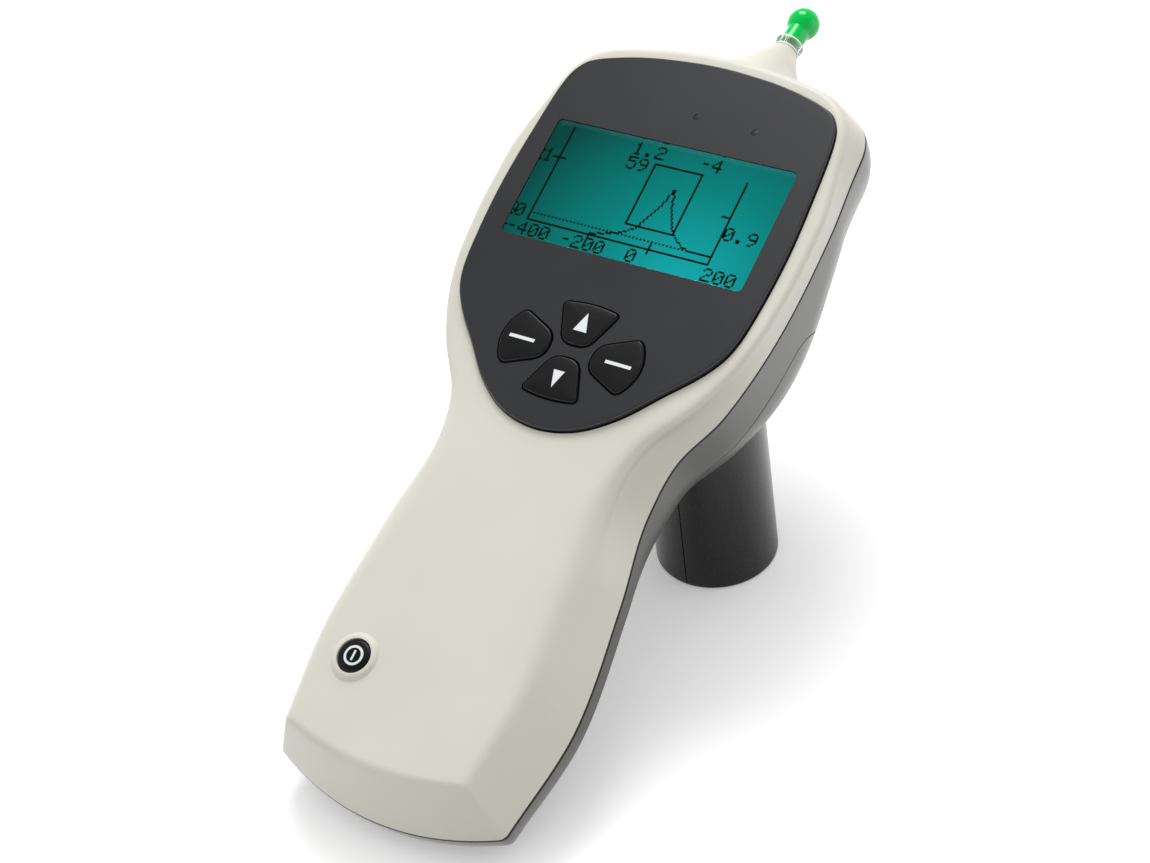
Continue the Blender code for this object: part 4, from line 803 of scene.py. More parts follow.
def open_tree(name, **sockets):
    """New Geometry Nodes tree with its named inputs, each of a kind, and a material."""
    tree = bpy.data.node_groups.new(name, "GeometryNodeTree")
    tree.interface.new_socket("Geometry", in_out="OUTPUT", socket_type="NodeSocketGeometry")
    for label, kind in {"Geometry": "Geometry", **sockets, "Material": "Material"}.items():
        tree.interface.new_socket(label, in_out="INPUT", socket_type=f"NodeSocket{kind}")
    return tree, add_node(tree, "NodeGroupInput").outputs


def close_tree(tree, given, instance, **turn):
    """End a tree that puts one instance on each point: make them real and give them the material."""
    placed = add_node(tree, "GeometryNodeInstanceOnPoints", {
        "Points": given["Geometry"], "Instance": instance, **turn})
    real = add_node(tree, "GeometryNodeRealizeInstances", {"Geometry": placed.outputs[0]})
    painted = add_node(tree, "GeometryNodeSetMaterial", {
        "Geometry": real.outputs[0], "Material": given["Material"]})
    add_node(tree, "NodeGroupOutput", {"Geometry": painted.outputs[0]})
    return tree


def screw_tree():
    """Geometry Nodes: one screw for each point, turned by the point's own angle."""
    tree, given = open_tree("screws_on_points", Screw="Object", Turn="Float")
    screw = add_node(tree, "GeometryNodeObjectInfo", {"Object": given["Screw"]})
    number = add_node(tree, "GeometryNodeInputIndex").outputs[0]
    angle = add_node(tree, "ShaderNodeMath", {0: number, 1: given["Turn"]}, operation="MULTIPLY")
    turn = add_node(tree, "ShaderNodeCombineXYZ", {"Z": angle.outputs[0]})
    return close_tree(tree, given, screw.outputs["Geometry"], Rotation=turn.outputs[0])


def grow_on(thing, tree, values):
    """Run a Geometry Nodes tree on a piece with its named inputs, and keep the plain mesh."""
    step = thing.modifiers.new("grow", "NODES")
    step.node_group = tree
    for item in tree.interface.items_tree:
        if item.in_out == "INPUT" and item.name in values:
            step[item.identifier] = values[item.name]
    return settle(thing)


def points_object(name, points):
    """Object of loose points, for Geometry Nodes to grow pieces on."""
    mesh = bpy.data.meshes.new(name)
    mesh.from_pydata(points, [], [])
    thing = bpy.data.objects.new(name, mesh)
    bpy.context.scene.collection.objects.link(thing)
    return thing


screw_profile = [(0, SCREW_REACH + SCREW_LAND), (SCREW_RADIUS, SCREW_REACH + SCREW_LAND), (SCREW_RADIUS, 0),
                 (SCREW_HEAD_RADIUS, 0), (SCREW_HEAD_RADIUS, -SCREW_HEAD_HEIGHT), (0, -SCREW_HEAD_HEIGHT)]
screw_head = softened(screw_profile, SCREW_HEAD_HEIGHT / 3)
one_screw = solid(turned(screw_head, SMALL_SIDES), Matrix.Identity(4), "screw_pattern")
for wide, long in ((RECESS_HALF_WIDTH, RECESS_HALF_LENGTH), (RECESS_HALF_LENGTH, RECESS_HALF_WIDTH)):
    recess = oblong(-wide, wide, -long, long)
    tool = slab(recess, -SCREW_HEAD_HEIGHT - OVERRUN, RECESS_DEPTH - SCREW_HEAD_HEIGHT)
    carve(one_screw, solid(tool, Matrix.Identity(4)))
one_screw.data.shade_smooth()
one_screw.data.set_sharp_from_angle(angle=SHARP_EDGE)
screw_points = [
    (side * x, y, parting_height(y) - SCREW_LAND - GAP) for x, y in SCREW_PLACES for side in (-1, 1)]
screws = points_object("housing_screws", screw_points)
grow_on(screws, screw_tree(), {"Screw": one_screw, "Turn": SCREW_TURN, "Material": bright_steel})
bpy.data.objects.remove(one_screw)
screws.data.transform(BODY)
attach(screws, "housing")
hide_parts("housing_screw_1", "housing_screw_2", "housing_screw_3", "housing_screw_4")

# Battery contacts
# Flat nickel-plated contacts join the cells in pairs on the pod's floor, and wound springs press
# them down from a plate under its cap.
SPRING_TURNS = 3.5
SPRING_WIRE = 0.00025
SPRING_LOW_RADIUS = 0.0019
SPRING_HIGH_RADIUS = 0.003
SPRING_STEPS = 24
WIRE_SIDES = 8


def spring_tree():
    """Geometry Nodes: one conical wire spring for each point."""
    sizes = ("Turns", "Low Radius", "High Radius", "Height", "Wire")
    tree, given = open_tree("springs_on_points", **{size: "Float" for size in sizes})
    wound = add_node(tree, "GeometryNodeCurveSpiral", {
        "Resolution": SPRING_STEPS, "Rotations": given["Turns"], "Start Radius": given["Low Radius"],
        "End Radius": given["High Radius"], "Height": given["Height"]})
    section = add_node(tree, "GeometryNodeCurvePrimitiveCircle", {
        "Resolution": WIRE_SIDES, "Radius": given["Wire"]})
    wire = add_node(tree, "GeometryNodeCurveToMesh", {
        "Curve": wound.outputs[0], "Profile Curve": section.outputs[0], "Fill Caps": True})
    return close_tree(tree, given, wire.outputs[0])


def wear(node, look):
    """Give a CAD node that stays as it is a material."""
    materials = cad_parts[node].data.materials
    materials.clear()
    materials.append(look)


spring_low, spring_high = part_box("battery_springs")
spring_points = [
    (pod_middle.x + x * CELL_SPREAD, pod_middle.y + y * CELL_SPREAD, spring_low.z + SPRING_WIRE)
    for x in (-1, 1) for y in (-1, 1)]
springs = points_object("wound_springs", spring_points)
grow_on(springs, spring_tree(), {
    "Turns": SPRING_TURNS, "Low Radius": SPRING_LOW_RADIUS, "High Radius": SPRING_HIGH_RADIUS,
    "Height": spring_high.z - spring_low.z - CONTACT_THICKNESS - SPRING_WIRE, "Wire": SPRING_WIRE,
    "Material": nickel_plate})
springs.data.shade_smooth()
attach(springs, "housing")
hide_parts("battery_springs")
half = (spring_high.x - spring_low.x) / 2
plate = solid(slab(rectangle(half, -half, half, CONTACT_THICKNESS), -CONTACT_THICKNESS, 0),
              Matrix.Translation((pod_middle.x, pod_middle.y, spring_high.z)), "spring_plate")
dress(plate, nickel_plate, "housing", slot="nickel_plate")
wear("pod_contact", nickel_plate)
wear("cover_contact", nickel_plate)

# Circuit board, pump and sensors
# They sit on and under the board, inside the closed housing: green solder resist on glass fibre, a
# steel motor and bracket, and moulded pump parts.
TRACK_SPACING = 0.006
TRACK_GAP = 0.03


def solder_resist():
    """Glass-fibre board under green solder resist: copper tracks show through as a paler pattern."""
    look, tree, shader, place = new_look("green_solder_resist")
    tracks = add_node(tree, "ShaderNodeTexBrick", {
        "Vector": place, "Color1": linear("#175534"), "Color2": linear("#1B5E3A"),
        "Mortar": linear("#2C7A4C"), "Scale": 1 / TRACK_SPACING, "Mortar Size": TRACK_GAP})
    tree.links.new(tracks.outputs["Color"], shader.inputs["Base Color"])
    shader.inputs["Roughness"].default_value = 0.35
    return look


board_green = solder_resist()
white_plastic = moulded_plastic("moulded_white_plastic", "#E4E3DE", "#DEDDD8", roughness=0.45)
black_plastic = moulded_plastic("moulded_black_plastic", "#232323", "#1E1E1E", roughness=0.45)
tube_rubber = moulded_plastic("extruded_tube_rubber", "#CFCDC0", "#C6C4B6", roughness=0.5)
hidden_looks = {
    "main_board": board_green, "pump_motor": bright_steel, "pump_bracket": bright_steel,
    "pump_screw": bright_steel, "pump_barrel": white_plastic, "pump_piston": white_plastic,
    "receiver": bright_steel, "microphone": bright_steel, "pressure_sensor": black_plastic,
    "air_tube": tube_rubber, "power_switch": black_plastic, "lcd_backlight": white_plastic}
for node, look in hidden_looks.items():
    wear(node, look)

# Front panel
# A charcoal plate of moulded polycarbonate is glued into the recess and stands a little proud of the cream
# shell. Its rim is rounded over a side wall that is painted black as shade, and it is pierced for the window,
# the keys and two lights.
PANEL_EDGE = 0.0004
KEY_GAP = 0.0004
LIGHT_PLACES = ((0.0016, 0.0635), (0.0169, 0.0628))
LIGHT_RADIUS = 0.0008
DISPLAY_CORNER = 0.0013
UP_KEY_INNER = (0.0033, 0.0017)
UP_KEY_OUTER = (0.0072, 0.0112)
UP_KEY_BOW = 0.0008
SIDE_KEY_INNER = (0.0029, 0.0056)
SIDE_KEY_OUTER = (0.0070, 0.0149)
SIDE_KEY_BOW = 0.0029
KEY_INNER_ROUND = 0.0026
KEY_OUTER_ROUND = 0.0013
KEY_CORNER_STEPS = 10
KEY_SIDE_STEPS = 6
KEY_ARC_STEPS = 12
RIM_STEPS = 5
PAINTED_SHADE_SHARE = 0.6


def rimmed(outline, low, high, edge):
    """Closed mesh of a plate whose upper rim is rounded by an edge radius."""
    rings = [(0, low)]
    for i in range(RIM_STEPS + 1):
        angle = math.radians(90.0) * i / RIM_STEPS
        rings.append((edge * (1 - math.cos(angle)), high - edge * (1 - math.sin(angle))))
    return ringed([[(x, y, z) for x, y in grown(outline, -inset)] for inset, z in rings])


def key_outline(inner, outer, bow, quarter_turns):
    """Fan-shaped key that points at the middle of the cluster, turned round it by quarter turns."""
    inner = Vector(inner)
    outer = Vector(outer)
    side = (outer - inner).normalized()

    def arc(share):
        return Vector((outer.x * share, outer.y + bow * (1 - share ** 2)))

    edge_share = 1 - KEY_OUTER_ROUND / outer.x
    before_end = outer - side * KEY_OUTER_ROUND
    start = inner - Vector((KEY_INNER_ROUND, 0))
    half = rounded(start, inner, inner + side * KEY_INNER_ROUND, KEY_CORNER_STEPS)
    half += [half[-1].lerp(before_end, i / KEY_SIDE_STEPS) for i in range(1, KEY_SIDE_STEPS)]
    half += rounded(before_end, outer, arc(edge_share), KEY_SIDE_STEPS)
    half += [arc(edge_share * i / KEY_ARC_STEPS) for i in range(KEY_ARC_STEPS - 1, 0, -1)]
    turn = Matrix.Rotation(math.radians(90.0) * quarter_turns, 2)
    return [turn @ point for point in mirrored(half)]


up_key = (UP_KEY_INNER, UP_KEY_OUTER, UP_KEY_BOW)
side_key = (SIDE_KEY_INNER, SIDE_KEY_OUTER, SIDE_KEY_BOW)
KEYS = {
    "up": key_outline(*up_key, 0), "left": key_outline(*side_key, 1), "down": key_outline(*up_key, 2),
    "right": key_outline(*side_key, 3)}
charcoal = moulded_plastic("moulded_charcoal_panel", "#343537", "#2F3032", roughness=0.34, relief=FINE_RELIEF)
panel_edge_painted_shade = moulded_plastic("moulded_panel_edge_painted_shade", "#0C0C0D", "#090909", roughness=0.3, relief=FINE_RELIEF)
panel = solid(rimmed(PANEL_OUTLINE, -PANEL_THICKNESS, 0, PANEL_EDGE), BODY, "charcoal_panel")
holes = [rectangle(DISPLAY_HALF_WIDTH, DISPLAY_LOW, DISPLAY_HIGH, DISPLAY_CORNER)]
holes += [grown(outline, KEY_GAP) for outline in KEYS.values()]
holes += [circle(place, LIGHT_RADIUS + GAP / 10) for place in LIGHT_PLACES]
for outline in holes:
    carve(panel, solid(slab(outline, -PANEL_THICKNESS - OVERRUN, OVERRUN), BODY))
dress(panel, charcoal, "housing", "display_panel", slot="charcoal_panel")
# The side wall and the lower rim are painted near-black: painted shade along the panel's raised edge.
paint(panel, panel_edge_painted_shade, lambda face: (to_body @ face.center).z < -PANEL_EDGE * PAINTED_SHADE_SHARE)

# Display
# A lit liquid-crystal display behind a clear acrylic window: teal light from behind, dark dots in a
# grid of 128 by 64. It shows a plain pressure graph with its curve and the numbers of its scales.
COLUMNS = 128
ROWS = 64
GLASS_MARGIN = 0.0016
GLASS_THICKNESS = 0.0018
DOT_SHARE = 0.98
DOT_THICKNESS = 0.00004
DOT_SHIFT = (-0.0016, 0.00095)
DISPLAY_WALL = PANEL_THICKNESS + GAP
BACKLIGHT_LAMP = (0.0156, 0.0224)
BACKLIGHT_NEAR = 0.005
BACKLIGHT_FAR = 0.053
BACKLIGHT_MIDDLE_SHARE = 0.4
ACRYLIC_IOR = 1.49
WIPE_SIZE = 0.01
WIPE_SPREAD = 0.03
DOT_DIGITS = {
    "0": ("01110", "10001", "10011", "10101", "11001", "10001", "01110"),
    "1": ("00100", "01100", "00100", "00100", "00100", "00100", "01110"),
    "2": ("01110", "10001", "00001", "00110", "01000", "10000", "11111"),
    "4": ("00010", "00110", "01010", "10010", "11111", "00010", "00010"),
    "5": ("11111", "10000", "11110", "00001", "00001", "10001", "01110"),
    "9": ("01110", "10001", "10001", "01111", "00001", "00010", "01100"),
    "-": ("00000", "00000", "00000", "01110", "00000", "00000", "00000"),
    ".": ("00000", "00000", "00000", "00000", "00000", "01100", "01100")}
# Numbers on the display: what they are, and the column and row of their upper left dot
READINGS = (("1.2", 46, 3), ("-4", 82, 3), ("59", 46, 11), ("0.9", 109, 35), ("1", 3, 17), ("0", 3, 48),
            ("-400", 3, 57), ("-200", 33, 57), ("0", 68, 57), ("200", 108, 57))
LEFT_AXIS = ((11, 3), (11, 55))
BOTTOM_AXIS = ((11, 55), (108, 55))
RIGHT_AXIS = ((108, 11), (108, 54))
BASE_ROW = 51
TICKS = (((8, 20), (14, 20)), ((104, 30), (108, 30)), ((77, BASE_ROW), (77, 57)), ((45, 54), (45, 57)))
TARGET_BOX = ((60, 12), (85, 12), (85, 45), (60, 45))
TRACE = ((45, 54), (51, 53), (60, 50), (66, 46), (69, 39), (73, 32), (75, 23), (76, 23), (77, 28), (79, 34),
         (84, 43), (88, 47), (92, 50), (97, 51), (107, 51))


def line_dots(start, end, stride=1):
    """Columns and rows of the dots on a straight line."""
    count = max(abs(end[0] - start[0]), abs(end[1] - start[1]), 1)
    dots = set()
    for i in range(0, count + 1, stride):
        dots.add(tuple(round(near + (far - near) * (i / count)) for near, far in zip(start, end)))
    return dots


def number_dots(number, column, row):
    """Dots of a number, drawn in a face of 5 by 7 dots."""
    return {
        (column + place * 6 + across, row + down)
        for place, sign in enumerate(number) for down, bits in enumerate(DOT_DIGITS[sign])
        for across, bit in enumerate(bits) if bit == "1"}


def lit_dots():
    """All the dots that are dark on the display."""
    dots = set()
    for number, column, row in READINGS:
        dots |= number_dots(number, column, row)
    box_sides = zip(TARGET_BOX, TARGET_BOX[1:] + TARGET_BOX[:1])
    for start, end in (LEFT_AXIS, BOTTOM_AXIS, RIGHT_AXIS, *TICKS, *box_sides, *zip(TRACE, TRACE[1:])):
        dots |= line_dots(start, end)
    dots |= line_dots((LEFT_AXIS[0][0], BASE_ROW), (BOTTOM_AXIS[1][0], BASE_ROW), 2)
    return sorted(dots)


def dot_tree():
    """Geometry Nodes: one flat dot for each point."""
    tree, given = open_tree("display_dots", **{"Dot Size": "Vector"})
    dot = add_node(tree, "GeometryNodeMeshCube", {"Size": given["Dot Size"]})
    return close_tree(tree, given, dot.outputs[0])


def backlit_crystal():
    """Liquid-crystal glass lit from behind: its teal light fades away from the lamp at the lower right."""
    look, tree, shader, place = new_look("backlit_liquid_crystal")
    lamp = BODY @ Vector((*BACKLIGHT_LAMP, 0))
    away = add_node(tree, "ShaderNodeVectorMath", {0: place, 1: lamp}, operation="DISTANCE")
    share = add_node(tree, "ShaderNodeMapRange", {
        "Value": away.outputs["Value"], "From Min": BACKLIGHT_NEAR, "From Max": BACKLIGHT_FAR})
    glow = add_node(tree, "ShaderNodeValToRGB", {"Fac": share.outputs["Result"]})
    glow.color_ramp.elements[0].color = linear("#10ACB0")
    glow.color_ramp.elements[1].color = linear("#024640")
    glow.color_ramp.elements.new(BACKLIGHT_MIDDLE_SHARE).color = linear("#058884")
    shader.inputs["Base Color"].default_value = linear("#003834")
    shader.inputs["Roughness"].default_value = 0.3
    shader.inputs["Specular IOR Level"].default_value = 0.0
    tree.links.new(glow.outputs["Color"], shader.inputs["Emission Color"])
    shader.inputs["Emission Strength"].default_value = 1.0
    return look


def clear_plastic(name, roughness, clear, gloss):
    """Clear or frosted plastic: nearly no colour, and less see-through where it is frosted."""
    look, tree, shader, place = new_look(name)
    shader.inputs["Base Color"].default_value = linear("#F4F8F6")
    shader.inputs["Transmission Weight"].default_value = clear
    shader.inputs["IOR"].default_value = ACRYLIC_IOR
    shader.inputs["Specular IOR Level"].default_value = gloss
    wipes = add_node(tree, "ShaderNodeTexNoise", {"Vector": place, "Scale": 1 / WIPE_SIZE, "Detail": 3.0})
    sheen = add_node(tree, "ShaderNodeMapRange", {
        "Value": wipes.outputs["Fac"], "To Min": roughness, "To Max": roughness + WIPE_SPREAD})
    tree.links.new(sheen.outputs["Result"], shader.inputs["Roughness"])
    return look


acrylic = clear_plastic("coated_clear_acrylic", roughness=0.02, clear=1.0, gloss=0.3)
glass_outline = rectangle(DISPLAY_HALF_WIDTH + GLASS_MARGIN, DISPLAY_LOW - GLASS_MARGIN,
                          DISPLAY_HIGH + GLASS_MARGIN, DISPLAY_CORNER)
crystal = slab(glass_outline, -DISPLAY_WALL - GLASS_THICKNESS, -DISPLAY_WALL)
crystal = solid(crystal, BODY, "lit_display_glass")
dress(crystal, backlit_crystal(), "housing", "lcd_glass", slot="lcd_glass")
dot_ink = moulded_plastic("dark_crystal_dots", "#01211F", "#011C1A", roughness=0.5)
dot_ink.node_tree.nodes["Principled BSDF"].inputs["Specular IOR Level"].default_value = 0.0
pitch = Vector((DISPLAY_HALF_WIDTH * 2 / COLUMNS, (DISPLAY_HIGH - DISPLAY_LOW) / ROWS))
dot_points = [
    (-DISPLAY_HALF_WIDTH + (column + 0.5) * pitch.x + DOT_SHIFT[0],
     DISPLAY_HIGH - (row + 0.5) * pitch.y + DOT_SHIFT[1], -DISPLAY_WALL + DOT_THICKNESS)
    for column, row in lit_dots()]
dots = points_object("display_dots", dot_points)
grow_on(dots, dot_tree(), {
    "Dot Size": (pitch.x * DOT_SHARE, pitch.y * DOT_SHARE, DOT_THICKNESS), "Material": dot_ink})
dots.data.transform(BODY)
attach(dots, "housing")
window_outline = rectangle(
    DISPLAY_HALF_WIDTH - GAP / 3, DISPLAY_LOW + GAP / 3, DISPLAY_HIGH - GAP / 3, DISPLAY_CORNER)
window = solid(rimmed(window_outline, -PANEL_THICKNESS, -WINDOW_SINK, GAP / 10), BODY, "acrylic_window")
dress(window, acrylic, "housing", "display_window", slot="clear_plastic")
smoked = moulded_plastic("smoked_light_guide", "#303134", "#2C2D30", roughness=0.3, relief=FINE_RELIEF)
for side, place in zip(("left", "right"), LIGHT_PLACES):
    guide = turned(softened(rod(LIGHT_RADIUS, 0, BOARD_Z + GAP), LIGHT_RADIUS / 12), SMALL_SIDES)
    light = solid(guide, BODY @ Matrix.Translation((*place, -GAP / 3)), f"{side}_light")
    dress(light, smoked, "housing", f"{side}_light_guide", slot="clear_plastic")

# Keys
# Four fan-shaped keys of black silicone rubber come through the panel. Each has a soft edge, a
# slightly crowned face and a white mark printed on it: arrows up and down, bars left and right.
KEY_RISE = 0.0006
KEY_EDGE = 0.0004
KEY_CROWN = 0.00012
KEY_RINGS = 8
KEY_FLANGE = 0.0008
KEY_FLANGE_THICKNESS = 0.001
PRINT = 0.00004
ARROW_UP = ((-0.0017, 0.0050), (0.0017, 0.0050), (0.0, 0.0097))
ARROW_DOWN = ((-0.0014, -0.0052), (0.0, -0.0095), (0.0014, -0.0052))
BAR_HALF_LENGTH = 0.00325
BAR_HALF_WIDTH = 0.0004
BAR_X = 0.01245
BAR_Y = -0.00015
KEY_EDGE_STEPS = 6
KEY_SHARP_EDGE = math.radians(50.0)
SILICONE_IOR = 1.43


def crowned_key(outline):
    """Closed mesh of a key: a flange behind the panel, straight sides, a soft edge, a crowned face."""
    middle = sum(outline, Vector((0, 0))) / len(outline)
    flange_top = -PANEL_THICKNESS - GAP
    flange_low = flange_top - KEY_FLANGE_THICKNESS
    edge_top = KEY_RISE - KEY_CROWN
    wide = grown(outline, KEY_FLANGE)
    rings = [[(*p, z) for p in points] for points, z in (
        (wide, flange_low), (wide, flange_top), (outline, flange_top))]
    for i in range(KEY_EDGE_STEPS + 1):
        angle = math.radians(90.0) * i / KEY_EDGE_STEPS
        inset = grown(outline, -KEY_EDGE * (1 - math.cos(angle)))
        rings.append([(*p, edge_top - KEY_EDGE * (1 - math.sin(angle))) for p in inset])
    face = grown(outline, -KEY_EDGE)
    for i in range(1, KEY_RINGS):
        share = 1 - i / KEY_RINGS
        rings.append([(*middle.lerp(p, share), edge_top + KEY_CROWN * (1 - share ** 2)) for p in face])
    return ringed(rings)


def printed_mark(outline, mark):
    """Thin layer of ink on a key: the key's own face, lifted by the ink and trimmed to the mark."""
    layer = solid(crowned_key(outline), BODY @ Matrix.Translation((0, 0, PRINT)))
    return carve(layer, solid(slab(mark, KEY_RISE / 2, KEY_RISE * 2), BODY), "INTERSECT")


def silicone(name, tone, shade, roughness):
    """Moulded silicone rubber: dark, dull, with a very fine bloom that lifts its edges to grey."""
    look = moulded_plastic(name, tone, shade, roughness, ERODED_RELIEF / 2, ERODED_GRAIN / 2)
    look.node_tree.nodes["Principled BSDF"].inputs["IOR"].default_value = SILICONE_IOR
    return look


black_rubber = silicone("moulded_black_silicone", "#131316", "#101013", roughness=0.4)
white_ink = silicone("screen_printed_white_ink", "#E3E9E9", "#DBE2E2", roughness=0.5)
left_bar, right_bar = [
    oblong(middle - BAR_HALF_LENGTH, middle + BAR_HALF_LENGTH, BAR_Y - BAR_HALF_WIDTH, BAR_Y + BAR_HALF_WIDTH)
    for middle in (-BAR_X, BAR_X)]
marks = {"up": ARROW_UP, "left": left_bar, "down": ARROW_DOWN, "right": right_bar}
for side, outline in KEYS.items():
    key = solid(crowned_key(outline), BODY, f"rubber_key_{side}")
    dress(key, black_rubber, f"{side}_key", f"key_{side}", slot="black_key_rubber", sharp=KEY_SHARP_EDGE)
    mark = printed_mark(outline, marks[side])
    mark.name = f"key_mark_{side}"
    dress(mark, white_ink, f"{side}_key")
wear("key_mat", silicone("moulded_grey_silicone", "#6F6F6F", "#686868", roughness=0.6))

# Power key
# A round key of the same black rubber sits just proud of its collar, printed with a white ring and
# bar.
POWER_FLANGE = 0.0008
RING_MARK_RADIUS = 0.002
RING_MARK_HALF_WIDTH = 0.00028
BAR_MARK_HALF_LENGTH = 0.0012
BAR_MARK_HALF_WIDTH = 0.00024
POWER_CROWN = 0.0003
POWER_SIDES = 72
power_high = COLLAR_RISE + GAP / 2
brim = POWER_RADIUS + POWER_FLANGE
ceiling = top_height(POWER_PLACE[0] - brim, POWER_PLACE[1] - POWER_RADIUS) - WALL - GAP - power_top
power_profile = [
    (0, power_high), (POWER_RADIUS / 2, power_high - POWER_CROWN / 4),
    (POWER_RADIUS - KEY_EDGE, power_high - POWER_CROWN),
    (POWER_RADIUS, power_high - POWER_CROWN - KEY_EDGE), (POWER_RADIUS, ceiling), (brim, ceiling),
    (brim, ceiling - KEY_FLANGE_THICKNESS), (0, ceiling - KEY_FLANGE_THICKNESS)]
power_key = solid(turned(softened(power_profile, KEY_EDGE * 0.8), POWER_SIDES), POWER, "rubber_power_key")
dress(power_key, black_rubber, "on_off_key", "power_key", slot="black_key_rubber")
ring_in = RING_MARK_RADIUS - RING_MARK_HALF_WIDTH
ring_out = RING_MARK_RADIUS + RING_MARK_HALF_WIDTH
face_in = power_high - POWER_CROWN * (ring_in / POWER_RADIUS) ** 2
face_out = power_high - POWER_CROWN * (ring_out / POWER_RADIUS) ** 2
ring_mark = turned([(ring_in, face_in - PRINT), (ring_out, face_out - PRINT), (ring_out, face_out + PRINT),
                    (ring_in, face_in + PRINT)], POWER_SIDES, loop=True)
dress(solid(ring_mark, POWER, "power_ring_mark"), white_ink, "on_off_key")
bar_mark = rectangle(
    BAR_MARK_HALF_WIDTH, -BAR_MARK_HALF_LENGTH, BAR_MARK_HALF_LENGTH, BAR_MARK_HALF_WIDTH / 2)
bar_mark = solid(slab(bar_mark, power_high - POWER_CROWN / 4, power_high + PRINT), POWER, "power_bar_mark")
dress(bar_mark, white_ink, "on_off_key")

# Probe
# A black block in the head carries the steel sound tube. The flared cream cone pushes over the block's neck
# and ends in a clear ring whose ends are painted white as highlights. The soft green ear tip pushes over the
# tube.
BLOCK_RADIUS = 0.0072
BLOCK_BACK = 0.0155
BLOCK_EDGE = 0.0005
PROBE_TUBE_RADIUS = 0.0013
PROBE_TUBE_END = 0.0262
PROBE_FLANGE_RADIUS = 0.0046
PROBE_FLANGE_THICKNESS = 0.001
PROBE_TUBE_EDGE = 0.0002
PROBE_TUBE_SIDES = 48
CONE_LENGTH = 0.0204
CONE_BASE_RADIUS = 0.0145
CONE_TIP_RADIUS = 0.0033
CONE_ROOT = 0.0145
CONE_ROWS = 48
CONE_SIDES = 128
CONE_CURVE_SHARES = (
    (0.0, 1.0), (0.10, 0.95), (0.22, 0.80), (0.35, 0.63), (0.56, 0.40), (0.72, 0.26), (0.86, 0.12),
    (1.0, 0.0))
RING_LENGTH = 0.0026
RING_LIP = 0.0003
RING_WALL = 0.0005
RING_BAND = 0.0004
RING_SIDES = 72
TIP_STEM_RADIUS = 0.0028
TIP_BORE = 0.0009
TIP_BULB_RADIUS = 0.004
TIP_BULB_CENTRE = 0.0308
TIP_MOUTH = 0.0016
TIP_SINK = 0.0014
TIP_ROWS = 32
TIP_SHARP_EDGE = math.radians(60.0)
TIP_IOR = 1.41
CLOUD_SIZE = 0.002
GLOW_DEPTH = 0.001
GLOW_SPREAD = (0.3, 1.0, 0.5)
TIP_SHEEN = (0.12, 0.2)

flange_low = NECK_LENGTH + GAP
flange_top = flange_low + PROBE_FLANGE_THICKNESS
block_profile = [
    (0, NECK_LENGTH), (NECK_RADIUS, NECK_LENGTH), (NECK_RADIUS, -BLOCK_FRONT),
    (BLOCK_RADIUS, -BLOCK_FRONT), (BLOCK_RADIUS, -BLOCK_BACK), (0, -BLOCK_BACK)]
block = solid(turned(softened(block_profile, BLOCK_EDGE)), NOSE, "black_probe_block")
dress(block, black_plastic, "housing", "probe_block", slot="black_plastic")
tube_profile = [
    (0, PROBE_TUBE_END), (PROBE_TUBE_RADIUS, PROBE_TUBE_END), (PROBE_TUBE_RADIUS, flange_top),
    (PROBE_FLANGE_RADIUS, flange_top), (PROBE_FLANGE_RADIUS, flange_low), (0, flange_low)]
tube = turned(softened(tube_profile, PROBE_TUBE_EDGE), PROBE_TUBE_SIDES)
dress(solid(tube, NOSE, "steel_sound_tube"), bright_steel, "housing", "probe_tube", slot="bright_steel")

bore = PROBE_TUBE_RADIUS + GAP
socket = NECK_RADIUS + GAP
spread = CONE_BASE_RADIUS - CONE_TIP_RADIUS
flare = [(CONE_LENGTH * along, CONE_TIP_RADIUS + spread * share) for along, share in CONE_CURVE_SHARES]
cone_profile = [(0, CONE_LENGTH)]
for i in range(CONE_ROWS + 1):
    along = CONE_LENGTH * (1 - i / CONE_ROWS)
    cone_profile.append((smooth_value([(radius, place) for place, radius in flare], along), along))
cone_profile += [(CONE_BASE_RADIUS, -CONE_ROOT), (0, -CONE_ROOT)]
cone = solid(turned(cone_profile, CONE_SIDES), NOSE, "cream_nose_cone")
carve(cone, solid(whole_skin(GAP), BODY))
cone_bore = [
    (0, CONE_LENGTH + GAP), (bore, CONE_LENGTH + GAP), (bore, flange_top + GAP),
    (socket, flange_top + GAP), (socket, -CONE_ROOT - OVERRUN), (0, -CONE_ROOT - OVERRUN)]
carve(cone, solid(turned(cone_bore), NOSE))
dress(cone, cream_abs, "cone", "nose_cone", slot="cream_abs")

ring_low = CONE_LENGTH + GAP
ring_top = ring_low + RING_LENGTH
ring_outer = CONE_TIP_RADIUS + RING_LIP
ring_profile = [
    (ring_outer - RING_WALL, ring_top), (ring_outer, ring_top), (ring_outer, ring_top - RING_BAND),
    (CONE_TIP_RADIUS, ring_low + RING_BAND), (CONE_TIP_RADIUS, ring_low), (bore, ring_low),
    (bore, ring_low + RING_WALL), (ring_outer - RING_WALL, ring_low + RING_WALL)]
ring = solid(turned(ring_profile, RING_SIDES, loop=True), NOSE, "clear_cone_ring")
clear_ring = clear_plastic("clear_polycarbonate_ring", roughness=0.08, clear=0.9, gloss=0.5)
ring_end_painted_highlight = moulded_plastic("ring_end_painted_highlight_white", "#F2F6F4", "#EAEFEC", roughness=0.4)
dress(ring, clear_ring, "cone", "cone_ring", slot="clear_plastic")
to_nose = NOSE.inverted()


def at_ring_end(face):
    """Whether a face is within the band at one of the ring's ends that is painted white as a highlight."""
    return not ring_low + RING_BAND < (to_nose @ face.center).z < ring_top - RING_BAND


# The ring's ends are painted white: painted highlights on its rims.
paint(ring, ring_end_painted_highlight, at_ring_end)


